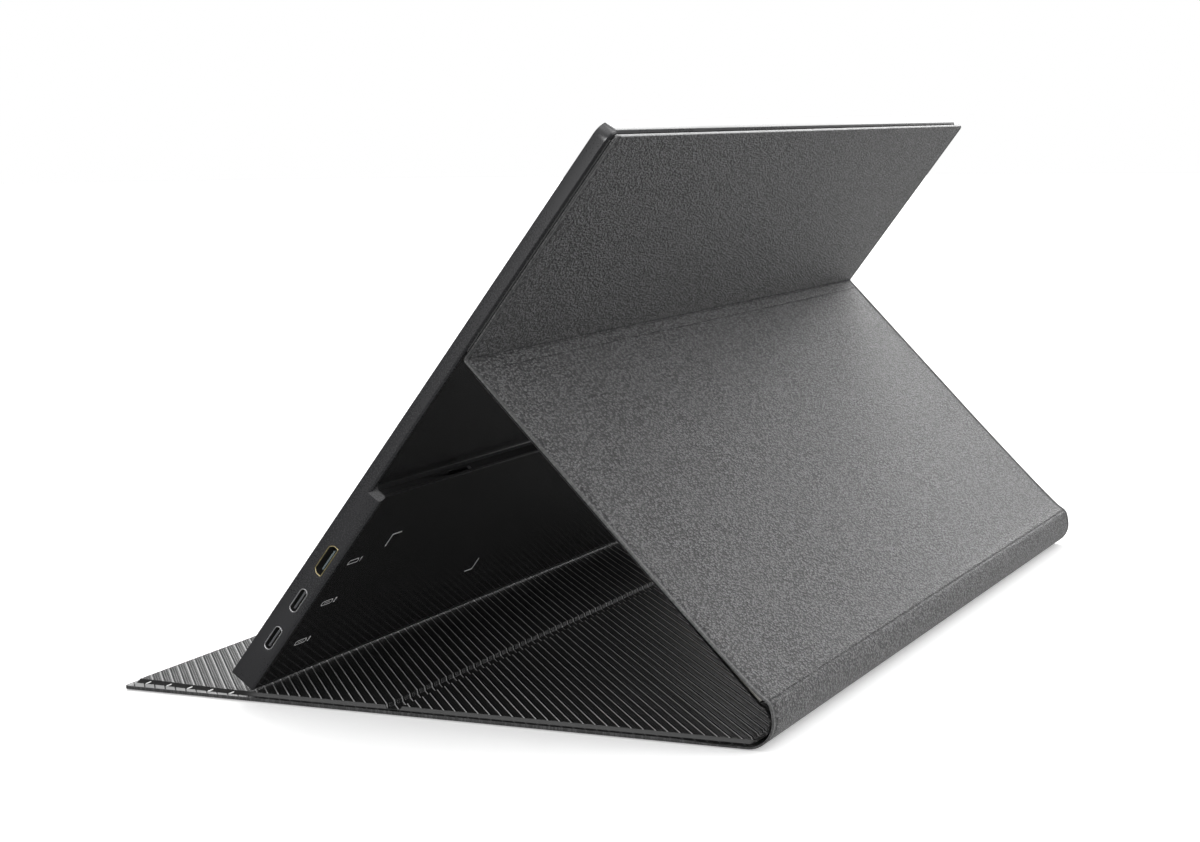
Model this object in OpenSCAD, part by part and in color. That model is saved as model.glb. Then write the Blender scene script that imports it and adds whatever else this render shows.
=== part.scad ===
// Slim portable monitor standing on its folding cover.
// +X runs along the width, towards the side wall with the three sockets.
// The screen faces -Y and up, the cover folds away towards +Y, +Z is up.
// The origin is on the resting surface, in the middle of the footprint.

/* [Monitor] */
// Width of the monitor
monitor_w = 356; // [350:1:362]
// Height of the monitor, measured along the screen
monitor_h = 205.5; // [202:0.5:212]
// Thickness of the lower part, which holds the electronics
thick_low = 8.8; // [8.6:0.1:10]
// Thickness of the upper part
thick_top = 4.5; // [4.4:0.1:4.8]
// Height of the ledge between the two thicknesses
ledge_h = 76.9; // [74:0.5:85]
// Radius of the upper corners seen from the front
corner_r = 4; // [3:0.5:8]
// Radius of the lower corners, which stand on the cover
foot_r = 1; // [0.6:0.1:3]
// Thickness of the side frame's wall
wall = 1.8; // [1.5:0.1:2]
// Thickness of the rear cover's sheet
shell_t = 0.8; // [0.7:0.05:0.8]

/* [Screen] */
// Width of the picture
view_w = 344.2; // [338:0.2:345]
// Height of the picture
view_h = 193.6; // [188:0.2:194]
// Height of the picture's lower edge above the monitor's lower edge
view_low = 7.6; // [7:0.2:8]

/* [Sockets] */
// Height of the small video socket up the side wall
video_s = 49.4; // [47:0.2:51]
// Height of the upper data socket
data_up_s = 33.4; // [32:0.2:35]
// Height of the lower data socket
data_low_s = 18.4; // [16:0.2:20]
// Depth of the sockets' middle, in front of the rear face
socket_w = 3.9; // [3.9:0.05:4.1]
// Bore radius of the audio jack
jack_r = 1.8; // [1.76:0.01:1.84]

/* [Stand] */
// Lean of the screen from the resting surface, in degrees
screen_tilt = 53.2; // [46:0.2:60]
// Height of the upper fold up the monitor's back
fold_h = 126.8; // [122:0.2:130]
// Length of the back panel, from the spine to the upper fold
back_len = 130; // [128:0.2:134]
// Length of the top panel, above the upper fold
top_len = 78.6; // [74:0.2:79]
// Length of the base from the crease to the spine
base_len = 112; // [108:0.2:118]
// Length of the front flap
flap_len = 91; // [86:0.2:95]
// Outer radius of the rolled spine
spine_r = 7; // [6.5:0.1:8]

/* [Cover] */
// Width of the cover
cover_w = 359.6; // [357:0.1:363]
// Thickness of the outer skin
skin_t = 0.6; // [0.5:0.05:0.7]
// Thickness of the stiffener boards
board_t = 1.1; // [1:0.05:1.3]
// Thickness of the ribbed lining
lining_t = 0.5; // [0.4:0.05:0.6]
// Width of the flat hem around a board
hem = 3; // [2:0.5:4]
// Width of the soft crease beside each fold
soft = 2.9; // [2:0.1:4]

/* [Hidden] */
$fn = 48;
eps = 0.01;

// cover
cover_t = skin_t + board_t + lining_t;      // over a board
soft_t = skin_t + lining_t;                 // at a fold
fold_gap = 0.15;                            // half of the cut at a straight fold
spine_gap = 0.3;                            // half of the cut at the spine's upper edge
depth = flap_len + base_len + spine_r;      // footprint along Y
crease_y = -depth/2 + flap_len;             // crease in the base
spine_y = crease_y + base_len;              // middle of the spine's roll

// monitor foot and the closed stand triangle
foot_gap = 0.25;
foot_z = cover_t + foot_gap;
hold_gap = 0.1;
thin_w = thick_low - thick_top;             // rear face of the upper part
fold_off = -thin_w + hold_gap + cover_t;    // top panel's outer face behind the rear face
fold_z = foot_z - fold_off*cos(screen_tilt) + fold_h*sin(screen_tilt);
back_angle = asin((fold_z - spine_r)/sqrt(spine_r*spine_r + back_len*back_len))
             - atan(spine_r/back_len);
hinge_y = spine_y + spine_r*sin(back_angle);
hinge_z = spine_r + spine_r*cos(back_angle);
fold_y = hinge_y - back_len*cos(back_angle);
foot_y = fold_y - fold_off*sin(screen_tilt) - fold_h*cos(screen_tilt);

// layers of the monitor, measured from the rear face of the lower part to the front
low_sheet = 0.9;
brd_w = 1.2;
brd_t = 1.1;
brd_top = brd_w + brd_t;
tray_w = thick_low - 2.8;
fit = 0.1;
in_x = monitor_w/2 - wall;                  // inner face of the side walls
btn_w = socket_w;
power_s = 50;
rocker_s = 34;
jack_s = 18.4;
jack_w = brd_w + 2.4;
light_s = 59;

// ---------- shared shapes ----------

// rounded rectangle, centred in X, standing on Y = 0, with upper corners r, lower corners f
// and n steps in each corner
module plate2d(w, h, r, f, n = 6) {
    c = [[w/2 - f, f, -90, f], [w/2 - r, h - r, 0, r], [-w/2 + r, h - r, 90, r], [-w/2 + f, f, 180, f]];
    polygon([for (q = c, i = [0:n])
        [q[0] + q[3]*cos(q[2] + i*90/n), q[1] + q[3]*sin(q[2] + i*90/n)]]);
}

// slot with round ends along Y, swept along X from x0 to x1
module slot_x(x0, x1, s, w, len, ht) {
    translate([x0, s - len/2 + ht/2, w - ht/2]) cube([x1 - x0, len - ht, ht]);
    for (y = [-len/2 + ht/2, len/2 - ht/2])
        translate([x0, s + y, w]) rotate([0, 90, 0]) cylinder(h = x1 - x0, r = ht/2);
}

// outline of the small video socket: a bar with two cut corners on one side
module video2d(g) {
    polygon([[-5.6 + g, 0.3 - g*0.4], [-5.6 + g, -1.6 + g], [5.6 - g, -1.6 + g],
             [5.6 - g, 0.3 - g*0.4], [4.4 - g*0.6, 1.6 - g], [-4.4 + g*0.6, 1.6 - g]]);
}
module video_x(x0, x1, g) {
    translate([x0, video_s, socket_w]) rotate([90, 0, 90]) linear_extrude(x1 - x0) video2d(g);
}

// places the monitor's own axes: X, up the screen, and from the rear face to the front
module on_monitor() translate([0, foot_y, foot_z]) rotate([screen_tilt, 0, 0]) children();

// places a panel's own axes: Y runs along the panel, Z from the outer to the inner face
module on_top() translate([0, fold_y, fold_z]) rotate([screen_tilt, 0, 0]) children();
module on_back() translate([0, hinge_y, hinge_z]) rotate([180 - back_angle, 0, 0]) children();
module on_base() translate([0, crease_y, 0]) children();
module on_flap() translate([0, crease_y - flap_len, 0]) children();

// one panel of the cover: y0 and y1 are its ends, a and b the board's ends
module panel_skin(y0, y1) {
    translate([-cover_w/2, y0, 0]) cube([cover_w, y1 - y0, skin_t]);
}
module panel_board(a, b) {
    translate([-cover_w/2 + hem, a, skin_t]) cube([cover_w - 2*hem, b - a, board_t]);
}
module panel_lining(y0, y1, a, b) {
    difference() {
        union() {
            translate([-cover_w/2, y0, skin_t]) cube([cover_w, y1 - y0, lining_t]);
            translate([-cover_w/2 + hem - lining_t, a - lining_t, skin_t])
                cube([cover_w - 2*hem + 2*lining_t, b - a + 2*lining_t, board_t + lining_t]);
        }
        translate([-cover_w/2 + hem, a, skin_t - 1]) cube([cover_w - 2*hem, b - a, board_t + 1]);
    }
}

// ---------- monitor ----------

module side_frame() color([0.22, 0.22, 0.23]) on_monitor() difference() {
    linear_extrude(thick_low) plate2d(monitor_w, monitor_h, corner_r, foot_r);
    // the upper part is thinner, with slanted ends of the ledge
    translate([0, 0, -1]) linear_extrude(thin_w + 1) polygon([
        [monitor_w/2 + 6, ledge_h - 8], [monitor_w/2 - 2, ledge_h], [2 - monitor_w/2, ledge_h],
        [-monitor_w/2 - 6, ledge_h - 8], [-monitor_w/2 - 6, monitor_h + 5], [monitor_w/2 + 6, monitor_h + 5]]);
    translate([0, wall, -1]) linear_extrude(thick_low + 2)
        plate2d(monitor_w - 2*wall, monitor_h - 2*wall, corner_r - wall, max(0.3, foot_r - wall));
    // openings for the sockets
    video_x(in_x - 1, monitor_w/2 + 1, -0.15);
    for (s = [data_up_s, data_low_s]) slot_x(in_x - 1, monitor_w/2 + 1, s, socket_w, 9.24, 3.46);
    // openings in the other side wall
    translate([-monitor_w/2 - 1, jack_s, jack_w]) rotate([0, 90, 0]) cylinder(h = wall + 2, r = 2.75);
    slot_x(-monitor_w/2 - 1, -in_x + 1, power_s, btn_w, 9.6, 3);
    slot_x(-monitor_w/2 - 1, -in_x + 1, rocker_s, btn_w, 16.6, 3);
    translate([-monitor_w/2 - 1, light_s, btn_w]) rotate([0, 90, 0]) cylinder(h = wall + 2, r = 0.85);
}

boss = [[84, 12], [84, 56], [146, 12], [146, 56], [-156, 12], [-156, 56]];

// what fits inside the side frame, from depth w0 to w1
module inside(w0, w1) {
    translate([0, wall + fit, w0]) linear_extrude(w1 - w0)
        plate2d(2*in_x - 2*fit, monitor_h - 2*wall - 2*fit, corner_r - wall - fit, 0.3);
}

module rear_cover() color([0.05, 0.05, 0.055]) on_monitor() difference() {
    union() {
        difference() {
            inside(0, thin_w + shell_t);
            // outside of the thin upper part, and inside of the thick lower part
            translate([-monitor_w/2 - 1, ledge_h, -1]) cube([monitor_w + 2, monitor_h, thin_w + 1]);
            translate([-monitor_w/2 - 1, -1, low_sheet])
                cube([monitor_w + 2, ledge_h - low_sheet + 1, thin_w + shell_t]);
        }
        for (p = boss) translate([p[0], p[1], low_sheet - eps]) cylinder(h = brd_w - low_sheet + eps, r = 1.8);
    }
    for (p = boss) translate([p[0], p[1], 0.3]) cylinder(h = 3, r = 0.8);
    // sound slots in the ledge
    for (m = [0, 1]) mirror([m, 0, 0]) translate([117.6, ledge_h - 2, 0.95]) cube([15, 3, 1.5]);
}

module front_bezel() color([0.04, 0.04, 0.04]) on_monitor() difference() {
    inside(thick_low - 0.6, thick_low);
    translate([-view_w/2, view_low, thick_low - 2]) cube([view_w, view_h, 3]);
}

module display_panel() color([0.09, 0.1, 0.11]) on_monitor()
    translate([-in_x + 0.8, 3, thick_low - 1.5]) cube([2*in_x - 1.6, monitor_h - 6, 0.9]);

module optical_sheets() color([0.92, 0.92, 0.9]) on_monitor()
    translate([-in_x + 2.5, 4.8, thick_low - 1.85]) cube([2*in_x - 5, monitor_h - 9.6, 0.3]);

module light_guide() color([0.85, 0.92, 0.95]) on_monitor()
    translate([-in_x + 2.5, 4.8, thick_low - 2.5]) cube([2*in_x - 5, monitor_h - 9.6, 0.6]);

module backlight_tray() color([0.75, 0.76, 0.78]) on_monitor() {
    translate([-in_x + 0.8, 2.5, tray_w]) cube([2*in_x - 1.6, monitor_h - 5, 0.25]);
    for (x = [-in_x + 0.8, in_x - 1.1]) translate([x, 2.5, tray_w]) cube([0.3, monitor_h - 5, 1.25]);
}

module led_strip() color([0.9, 0.9, 0.7]) on_monitor() {
    translate([-in_x + 4, 2.6, tray_w + 0.3]) cube([2*in_x - 8, 0.5, 0.9]);
    for (i = [0:31]) translate([-163 + i*10.3, 3.1, tray_w + 0.35]) cube([4, 1.2, 0.7]);
}

module control_board() color([0.05, 0.25, 0.12]) on_monitor() difference() {
    translate([72, 8, brd_w]) cube([in_x - 0.3 - 72, 52, brd_t]);
    for (i = [0:3]) translate([boss[i][0], boss[i][1], brd_w - 1]) cylinder(h = brd_t + 2, r = 1.1);
}

module board_shield() color([0.7, 0.7, 0.72]) on_monitor() difference() {
    translate([94, 15, brd_top]) cube([42, 34, 1.9]);
    translate([94.25, 15.25, brd_top - 1]) cube([41.5, 33.5, 2.65]);
}

module board_screws() color([0.6, 0.6, 0.62]) on_monitor() for (p = boss) translate([p[0], p[1], 0]) {
    translate([0, 0, 0.45]) cylinder(h = brd_top - 0.45 + eps, r = 0.75);
    difference() {
        translate([0, 0, brd_top]) cylinder(h = 0.8, r = 1.6);
        translate([-0.8, -0.15, brd_top + 0.45]) cube([1.6, 0.3, 1]);
        translate([-0.15, -0.8, brd_top + 0.45]) cube([0.3, 1.6, 1]);
    }
}

module video_socket() color([0.8, 0.76, 0.6]) on_monitor() difference() {
    video_x(monitor_w/2 - 9, monitor_w/2 - 0.1, 0);
    video_x(monitor_w/2 - 8.6, monitor_w/2 + 1, 0.35);
}
module video_socket_tongue() color([0.1, 0.1, 0.1]) on_monitor()
    translate([monitor_w/2 - 8.6, video_s - 4, socket_w - 0.7]) cube([7.4, 8, 0.6]);

module data_socket(s) difference() {
    slot_x(monitor_w/2 - 8.4, monitor_w/2 - 0.1, s, socket_w, 8.94, 3.16);
    slot_x(monitor_w/2 - 8, monitor_w/2 + 1, s, socket_w, 8.34, 2.56);
}
module upper_data_socket() color([0.78, 0.78, 0.8]) on_monitor() data_socket(data_up_s);
module lower_data_socket() color([0.78, 0.78, 0.8]) on_monitor() data_socket(data_low_s);
module data_socket_tongues() color([0.12, 0.12, 0.12]) on_monitor()
    for (s = [data_up_s, data_low_s])
        translate([monitor_w/2 - 8, s - 3.35, socket_w - 0.35]) cube([7.1, 6.7, 0.7]);

module side_board() color([0.05, 0.25, 0.12]) on_monitor() difference() {
    translate([-in_x + 0.3, 8, brd_w]) cube([26, 53, brd_t]);
    translate([-in_x - 1, jack_s - 3.2, brd_w - 1]) cube([13.6, 6.4, brd_t + 2]);
    for (i = [4, 5]) translate([boss[i][0], boss[i][1], brd_w - 1]) cylinder(h = brd_t + 2, r = 1.1);
}

module tact_switches() color([0.15, 0.15, 0.15]) on_monitor()
    for (p = [[power_s, 0], [rocker_s - 5, 0], [rocker_s + 5, 0]]) {
        translate([-in_x + 1.8, p[0] - 2, brd_top]) cube([3, 4, 3]);
        translate([-in_x + 1.35, p[0], btn_w]) rotate([0, 90, 0]) cylinder(h = 0.6, r = 0.8);
    }

module audio_jack() color([0.08, 0.08, 0.08]) on_monitor() difference() {
    union() {
        translate([-monitor_w/2 + 0.1, jack_s, jack_w]) rotate([0, 90, 0]) cylinder(h = wall + 0.5, r = 2.6);
        translate([-in_x + 0.1, jack_s - 3, brd_w]) cube([12.2, 6, 4.75]);
    }
    translate([-monitor_w/2 - 1, jack_s, jack_w]) rotate([0, 90, 0]) cylinder(h = 14, r = jack_r);
}

module status_light() color([0.85, 0.9, 0.95]) on_monitor()
    translate([-monitor_w/2, light_s, btn_w]) rotate([0, 90, 0]) cylinder(h = 4, r = 0.75);

module speaker(x) {
    difference() {
        translate([x - 22, ledge_h - 14.4, 1.05]) cube([44, 11.5, 4.5]);
        translate([x - 19, ledge_h - 12.4, 2]) cube([20, 7.5, 6]);
        translate([x + 3, ledge_h - 12.4, 2]) cube([16, 7.5, 6]);
    }
    translate([x - 17, ledge_h - 10.9, 2]) cube([16, 4.5, 1.6]);
}
module left_speaker() color([0.14, 0.14, 0.14]) on_monitor() speaker(-125);
module right_speaker() color([0.14, 0.14, 0.14]) on_monitor() speaker(125);

module panel_ribbon() color([0.75, 0.45, 0.12]) on_monitor() {
    translate([98, 2.2, brd_top]) cube([24, 9, 0.15]);
    translate([98, 2.2, brd_top]) cube([24, 0.15, thick_low - 1.3 - brd_top]);
    translate([98, 2.2, thick_low - 1.3]) cube([24, 0.8, 0.15]);
}

module link_ribbon() color([0.85, 0.85, 0.82]) on_monitor()
    translate([-153, 22, brd_top]) cube([227, 6, 0.15]);

module holding_plates() color([0.6, 0.62, 0.65]) on_monitor()
    for (x = [-150, -65, 15, 100]) translate([x, fold_h + 14, thin_w + shell_t]) cube([50, 50, 0.7]);

module power_button() color([0.18, 0.18, 0.19]) on_monitor() {
    slot_x(-monitor_w/2 - 0.4, -in_x + 0.4, power_s, btn_w, 9, 2.4);
    translate([-in_x + 0.1, power_s - 5.4, btn_w - 1.6]) cube([0.8, 10.8, 3.2]);
}

module menu_rocker() color([0.18, 0.18, 0.19]) on_monitor() {
    slot_x(-monitor_w/2 - 0.4, -in_x + 0.6, rocker_s, btn_w, 16, 2.4);
    translate([-in_x + 0.5, rocker_s - 8.6, btn_w - 1.6]) cube([0.5, 17.2, 3.2]);
}

// ---------- cover ----------

top_a = 1.6;
top_b = top_len - hem;
magnet = [[-140, 24], [-140, 56], [-45, 24], [-45, 56], [45, 24], [45, 56], [140, 24], [140, 56]];

module top_skin() color([0.33, 0.33, 0.33]) on_top() panel_skin(fold_gap, top_len);
module top_board() color([0.5, 0.5, 0.48]) on_top() difference() {
    panel_board(top_a, top_b);
    for (p = magnet) translate([p[0], p[1], -1]) cylinder(h = 5, r = 7.1);
}
module top_lining() color([0.14, 0.14, 0.14]) on_top() panel_lining(fold_gap, top_len, top_a, top_b);
module top_magnets() color([0.6, 0.6, 0.62]) on_top()
    for (p = magnet) translate([p[0], p[1], skin_t]) cylinder(h = board_t, r = 7);

back_a = soft;
back_b = back_len - 4.3;

module back_skin() color([0.36, 0.36, 0.36]) on_back() panel_skin(spine_gap, back_len - fold_gap);
module back_board() color([0.5, 0.5, 0.48]) on_back() panel_board(back_a, back_b);
module back_lining() color([0.14, 0.14, 0.14]) on_back()
    panel_lining(spine_gap, back_len - fold_gap, back_a, back_b);

// arc of the rolled spine between radii ri and ro, from the resting surface up to the back panel
module spine_arc(ri, ro) {
    a0 = -90 + fold_gap/spine_r*180/PI;
    a1 = 90 - back_angle - spine_gap/spine_r*180/PI;
    am = (a0 + a1)/2;
    R = 4*spine_r;
    translate([-cover_w/2, spine_y, spine_r]) rotate([90, 0, 90]) linear_extrude(cover_w)
        intersection() {
            difference() { circle(ro, $fn = 96); circle(ri, $fn = 96); }
            polygon([[0, 0], [R*cos(a0), R*sin(a0)], [R*cos(am), R*sin(am)], [R*cos(a1), R*sin(a1)]]);
        }
}
module spine_skin() color([0.36, 0.36, 0.36]) spine_arc(spine_r - skin_t, spine_r);
module spine_lining() color([0.14, 0.14, 0.14]) spine_arc(spine_r - soft_t, spine_r - skin_t);

module base_skin() color([0.3, 0.3, 0.3]) on_base() panel_skin(fold_gap, base_len - fold_gap);
module base_board() color([0.5, 0.5, 0.48]) on_base() panel_board(soft, base_len - hem);
module base_lining() color([0.12, 0.12, 0.12]) on_base()
    panel_lining(fold_gap, base_len - fold_gap, soft, base_len - hem);

bar = [-150, -60, 40, 130];

module flap_skin() color([0.3, 0.3, 0.3]) on_flap() panel_skin(0, flap_len - fold_gap);
module flap_board() color([0.5, 0.5, 0.48]) on_flap() difference() {
    panel_board(hem, flap_len - soft);
    for (x = bar) translate([x - 0.1, 8.9, -1]) cube([20.2, 6.2, 5]);
}
module flap_lining() color([0.12, 0.12, 0.12]) on_flap()
    panel_lining(0, flap_len - fold_gap, hem, flap_len - soft);
module closing_magnets() color([0.6, 0.6, 0.62]) on_flap()
    for (x = bar) translate([x, 9, skin_t]) cube([20, 6, board_t]);

side_frame();
rear_cover();
front_bezel();
display_panel();
optical_sheets();
light_guide();
backlight_tray();
led_strip();
control_board();
board_shield();
board_screws();
video_socket();
video_socket_tongue();
upper_data_socket();
lower_data_socket();
data_socket_tongues();
side_board();
tact_switches();
audio_jack();
status_light();
left_speaker();
right_speaker();
panel_ribbon();
link_ribbon();
holding_plates();
power_button();
menu_rocker();
top_skin();
top_board();
top_lining();
top_magnets();
back_skin();
back_board();
back_lining();
spine_skin();
spine_lining();
base_skin();
base_board();
base_lining();
flap_skin();
flap_board();
flap_lining();
closing_magnets();
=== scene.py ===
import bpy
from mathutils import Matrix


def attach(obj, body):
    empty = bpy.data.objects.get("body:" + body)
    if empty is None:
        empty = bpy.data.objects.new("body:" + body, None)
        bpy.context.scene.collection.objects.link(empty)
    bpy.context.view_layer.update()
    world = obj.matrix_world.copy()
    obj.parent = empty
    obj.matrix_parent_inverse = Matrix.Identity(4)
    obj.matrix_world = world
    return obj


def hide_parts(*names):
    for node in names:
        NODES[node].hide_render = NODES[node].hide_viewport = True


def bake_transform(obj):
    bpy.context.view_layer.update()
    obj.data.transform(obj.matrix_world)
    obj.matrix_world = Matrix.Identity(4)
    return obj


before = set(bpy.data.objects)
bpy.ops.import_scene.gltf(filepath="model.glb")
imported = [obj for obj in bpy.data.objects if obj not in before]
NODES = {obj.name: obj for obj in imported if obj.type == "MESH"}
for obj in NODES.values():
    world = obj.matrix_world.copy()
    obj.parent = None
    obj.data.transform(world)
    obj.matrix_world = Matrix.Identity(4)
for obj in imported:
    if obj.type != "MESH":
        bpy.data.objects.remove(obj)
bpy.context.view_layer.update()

import math

import bpy
import bmesh
import numpy as np
from mathutils import Matrix, Vector

MM = 0.001

# ---------------------------------------------------------------- sizes, in millimetres, as in the CAD source
MON_W, MON_H, T_LOW, T_TOP, LEDGE, WALL = 356.0, 205.5, 8.8, 4.5, 76.9, 1.8
THIN = T_LOW - T_TOP
IN_X = MON_W / 2 - WALL
COV = 359.6 / 2
TILT = math.radians(53.2)
BETA = 0.8005559463204718
HINGE = np.array([103.02420318, 11.87415453])
FOLD = np.array([12.50419045, 105.18078503])
FOOT = np.array([-61.85053910, 2.45])
B_LEN, A_LEN = 130.0, 78.6
CREASE = -14.0
FLAP_Y = -106.1                  # the covering turns 1.1 mm past the board's edge
U = np.array([math.cos(TILT), math.sin(TILT)])      # up the screen, as (y, z)
W = np.array([-math.sin(TILT), math.cos(TILT)])     # from the rear face to the front
VB = np.array([-math.cos(BETA), math.sin(BETA)])    # up the back panel
NB_IN = np.array([-math.sin(BETA), -math.cos(BETA)])  # from its outer to its inner face
NA_IN = W.copy()


def smooth(a, b, x):
    t = np.clip((np.asarray(x, float) - a) / (b - a), 0, 1)
    return t * t * (3 - 2 * t)


def lin(a, b, x):
    return np.clip((np.asarray(x, float) - a) / (b - a), 0, 1)


# ---------------------------------------------------------------- camera
CAM = Matrix((
    (-0.39504347, -0.11505902, 0.91142859, 0.81695546),
    (0.91862412, -0.04041550, 0.39306019, 0.32877085),
    (-0.00838928, 0.99253615, 0.12166187, 0.17462931),
    (0, 0, 0, 1)))
cam_data = bpy.data.cameras.new("camera")
cam_data.sensor_fit = "HORIZONTAL"
cam_data.sensor_width = 36.0
cam_data.lens = 2511.657 / 1200 * 36.0
cam_data.clip_start, cam_data.clip_end = 0.02, 30
cam = bpy.data.objects.new("camera", cam_data)
bpy.context.scene.collection.objects.link(cam)
cam.matrix_world = CAM
bpy.context.scene.camera = cam


# ---------------------------------------------------------------- node helpers
class Mat:
    """A material with short helpers to wire its nodes."""

    def __init__(self, name, **sockets):
        self.m = bpy.data.materials.new(name)
        self.m.use_nodes = True
        self.t = self.m.node_tree
        self.p = self.t.nodes["Principled BSDF"]
        self.set(**sockets)

    def set(self, **sockets):
        for k, v in sockets.items():
            key = {"color": "Base Color", "rough": "Roughness", "metal": "Metallic", "ior": "IOR",
                   "spec": "Specular IOR Level", "coat": "Coat Weight", "coat_rough": "Coat Roughness",
                   "sheen": "Sheen Weight", "sheen_rough": "Sheen Roughness", "trans": "Transmission Weight",
                   "emit": "Emission Strength", "emit_color": "Emission Color", "alpha": "Alpha",
                   "aniso": "Anisotropic", "sheen_tint": "Sheen Tint"}[k]
            self.p.inputs[key].default_value = v
        return self

    def node(self, kind, **props):
        n = self.t.nodes.new(kind)
        for k, v in props.items():
            setattr(n, k, v)
        return n

    def link(self, a, b):
        self.t.links.new(a, b)

    def val(self, sock, v):
        if isinstance(v, bpy.types.NodeSocket):
            self.link(v, sock)
        else:
            sock.default_value = v

    def math(self, op, a, b=0.0, c=None, clamp=False):
        n = self.node("ShaderNodeMath", operation=op, use_clamp=clamp)
        self.val(n.inputs[0], a)
        self.val(n.inputs[1], b)
        if c is not None:
            self.val(n.inputs[2], c)
        return n.outputs[0]

    def ramp(self, v, lo, hi, to_lo=0.0, to_hi=1.0, soft=True):
        n = self.node("ShaderNodeMapRange", interpolation_type="SMOOTHSTEP" if soft else "LINEAR")
        n.clamp = True
        for i, x in enumerate((v, lo, hi, to_lo, to_hi)):
            self.val(n.inputs[i], x)
        return n.outputs[0]

    def mix(self, f, a, b, kind="MIX"):
        n = self.node("ShaderNodeMix", data_type="RGBA", blend_type=kind)
        self.val(n.inputs[0], f)
        for sock, v in ((n.inputs[6], a), (n.inputs[7], b)):
            self.val(sock, tuple(v) + (1,) if isinstance(v, tuple) and len(v) == 3 else v)
        return n.outputs[2]

    def obj(self, scale=1.0):
        """Object coordinates, which are the row frame's here."""
        n = self.node("ShaderNodeTexCoord")
        m = self.node("ShaderNodeVectorMath", operation="SCALE")
        self.link(n.outputs["Object"], m.inputs[0])
        m.inputs["Scale"].default_value = scale
        return m.outputs[0]

    def attr(self, name):
        n = self.node("ShaderNodeAttribute", attribute_name=name)
        return n

    def noise(self, vec, scale, detail=3.0, rough=0.5, dist=0.0, dims="3D"):
        n = self.node("ShaderNodeTexNoise", noise_dimensions=dims)
        if vec is not None:
            self.link(vec, n.inputs["Vector"])
        n.inputs["Scale"].default_value = scale
        n.inputs["Detail"].default_value = detail
        n.inputs["Roughness"].default_value = rough
        n.inputs["Distortion"].default_value = dist
        return n.outputs["Fac"]

    def voronoi(self, vec, scale, feature="F1", rand=1.0, smoothness=None):
        n = self.node("ShaderNodeTexVoronoi", feature=feature)
        self.link(vec, n.inputs["Vector"])
        n.inputs["Scale"].default_value = scale
        n.inputs["Randomness"].default_value = rand
        if smoothness is not None:
            n.inputs["Smoothness"].default_value = smoothness
        return n.outputs["Distance"]

    def bump(self, height, dist, strength=1.0, normal=None):
        n = self.node("ShaderNodeBump")
        n.inputs["Strength"].default_value = strength
        n.inputs["Distance"].default_value = dist
        self.link(height, n.inputs["Height"])
        if normal is not None:
            self.link(normal, n.inputs["Normal"])
        return n.outputs[0]

    def out(self, color=None, rough=None, normal=None, metal=None):
        for k, v in (("Base Color", color), ("Roughness", rough), ("Normal", normal), ("Metallic", metal)):
            if v is not None:
                self.link(v, self.p.inputs[k])
        return self.m


# ---------------------------------------------------------------- mesh helpers
def to_row(x, yz):
    """Points in metres from x and (y, z) in millimetres."""
    return np.column_stack([np.broadcast_to(x, len(yz)), yz[:, 0], yz[:, 1]]) * MM


def mon(x, s, w):
    """Monitor coordinates (x, up the screen, from the rear face to the front) to the row frame, in metres."""
    x, s, w = np.broadcast_arrays(np.asarray(x, float), np.asarray(s, float), np.asarray(w, float))
    y = FOOT[0] + s * U[0] + w * W[0]
    z = FOOT[1] + s * U[1] + w * W[1]
    return np.stack([x, y, z], -1) * MM


def make(name, verts, faces, mat=None, body=None, sharp=35.0, stands_for=(), attrs=None, fix=True, merge=0.0):
    me = bpy.data.meshes.new(name)
    me.from_pydata([tuple(v) for v in np.asarray(verts, float)], [], [tuple(f) for f in faces])
    if attrs:
        for k, a in attrs.items():
            at = me.attributes.new(k, "FLOAT_VECTOR", "POINT")
            at.data.foreach_set("vector", np.asarray(a, np.float32).ravel())
    if fix or merge:
        bm = bmesh.new()
        bm.from_mesh(me)
        if merge:
            bmesh.ops.remove_doubles(bm, verts=bm.verts, dist=merge)
            bmesh.ops.dissolve_degenerate(bm, dist=merge, edges=bm.edges)
        if fix:
            bmesh.ops.recalc_face_normals(bm, faces=bm.faces)
        bm.to_mesh(me)
        bm.free()
    me.shade_smooth()
    if sharp is not None:
        me.set_sharp_from_angle(angle=math.radians(sharp))
    o = bpy.data.objects.new(name, me)
    bpy.context.scene.collection.objects.link(o)
    if mat is not None:
        me.materials.append(mat)
    if body:
        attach(o, body)
    if stands_for:
        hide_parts(*stands_for)
    return o


def baked(o, keep=True):
    """Applies o's modifiers to its mesh."""
    bpy.context.view_layer.update()
    dg = bpy.context.evaluated_depsgraph_get()
    me = bpy.data.meshes.new_from_object(o.evaluated_get(dg))
    o.modifiers.clear()
    o.data = me
    return o


def cut(o, cutters, mats=None):
    """Cuts closed meshes out of o and throws the cutters away."""
    for c in cutters:
        m = o.modifiers.new("cut", "BOOLEAN")
        m.operation, m.solver, m.object = "DIFFERENCE", "EXACT", c
    baked(o)
    for c in cutters:
        bpy.data.objects.remove(c)
    return o


def bevel(o, width, segments=2, angle=30.0):
    m = o.modifiers.new("bevel", "BEVEL")
    m.width, m.segments, m.limit_method = width * MM, segments, "ANGLE"
    m.angle_limit = math.radians(angle)
    m.harden_normals = False
    m.use_clamp_overlap = True
    return m


def prism(points, depth_fn_a, depth_fn_b):
    """Vertices and faces of a closed prism between two copies of a closed outline."""
    n = len(points)
    va = [depth_fn_a(p) for p in points]
    vb = [depth_fn_b(p) for p in points]
    faces = [tuple(range(n))[::-1], tuple(range(n, 2 * n))]
    for i in range(n):
        j = (i + 1) % n
        faces.append((i, j, n + j, n + i))
    return np.array(va + vb, float), faces


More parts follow.
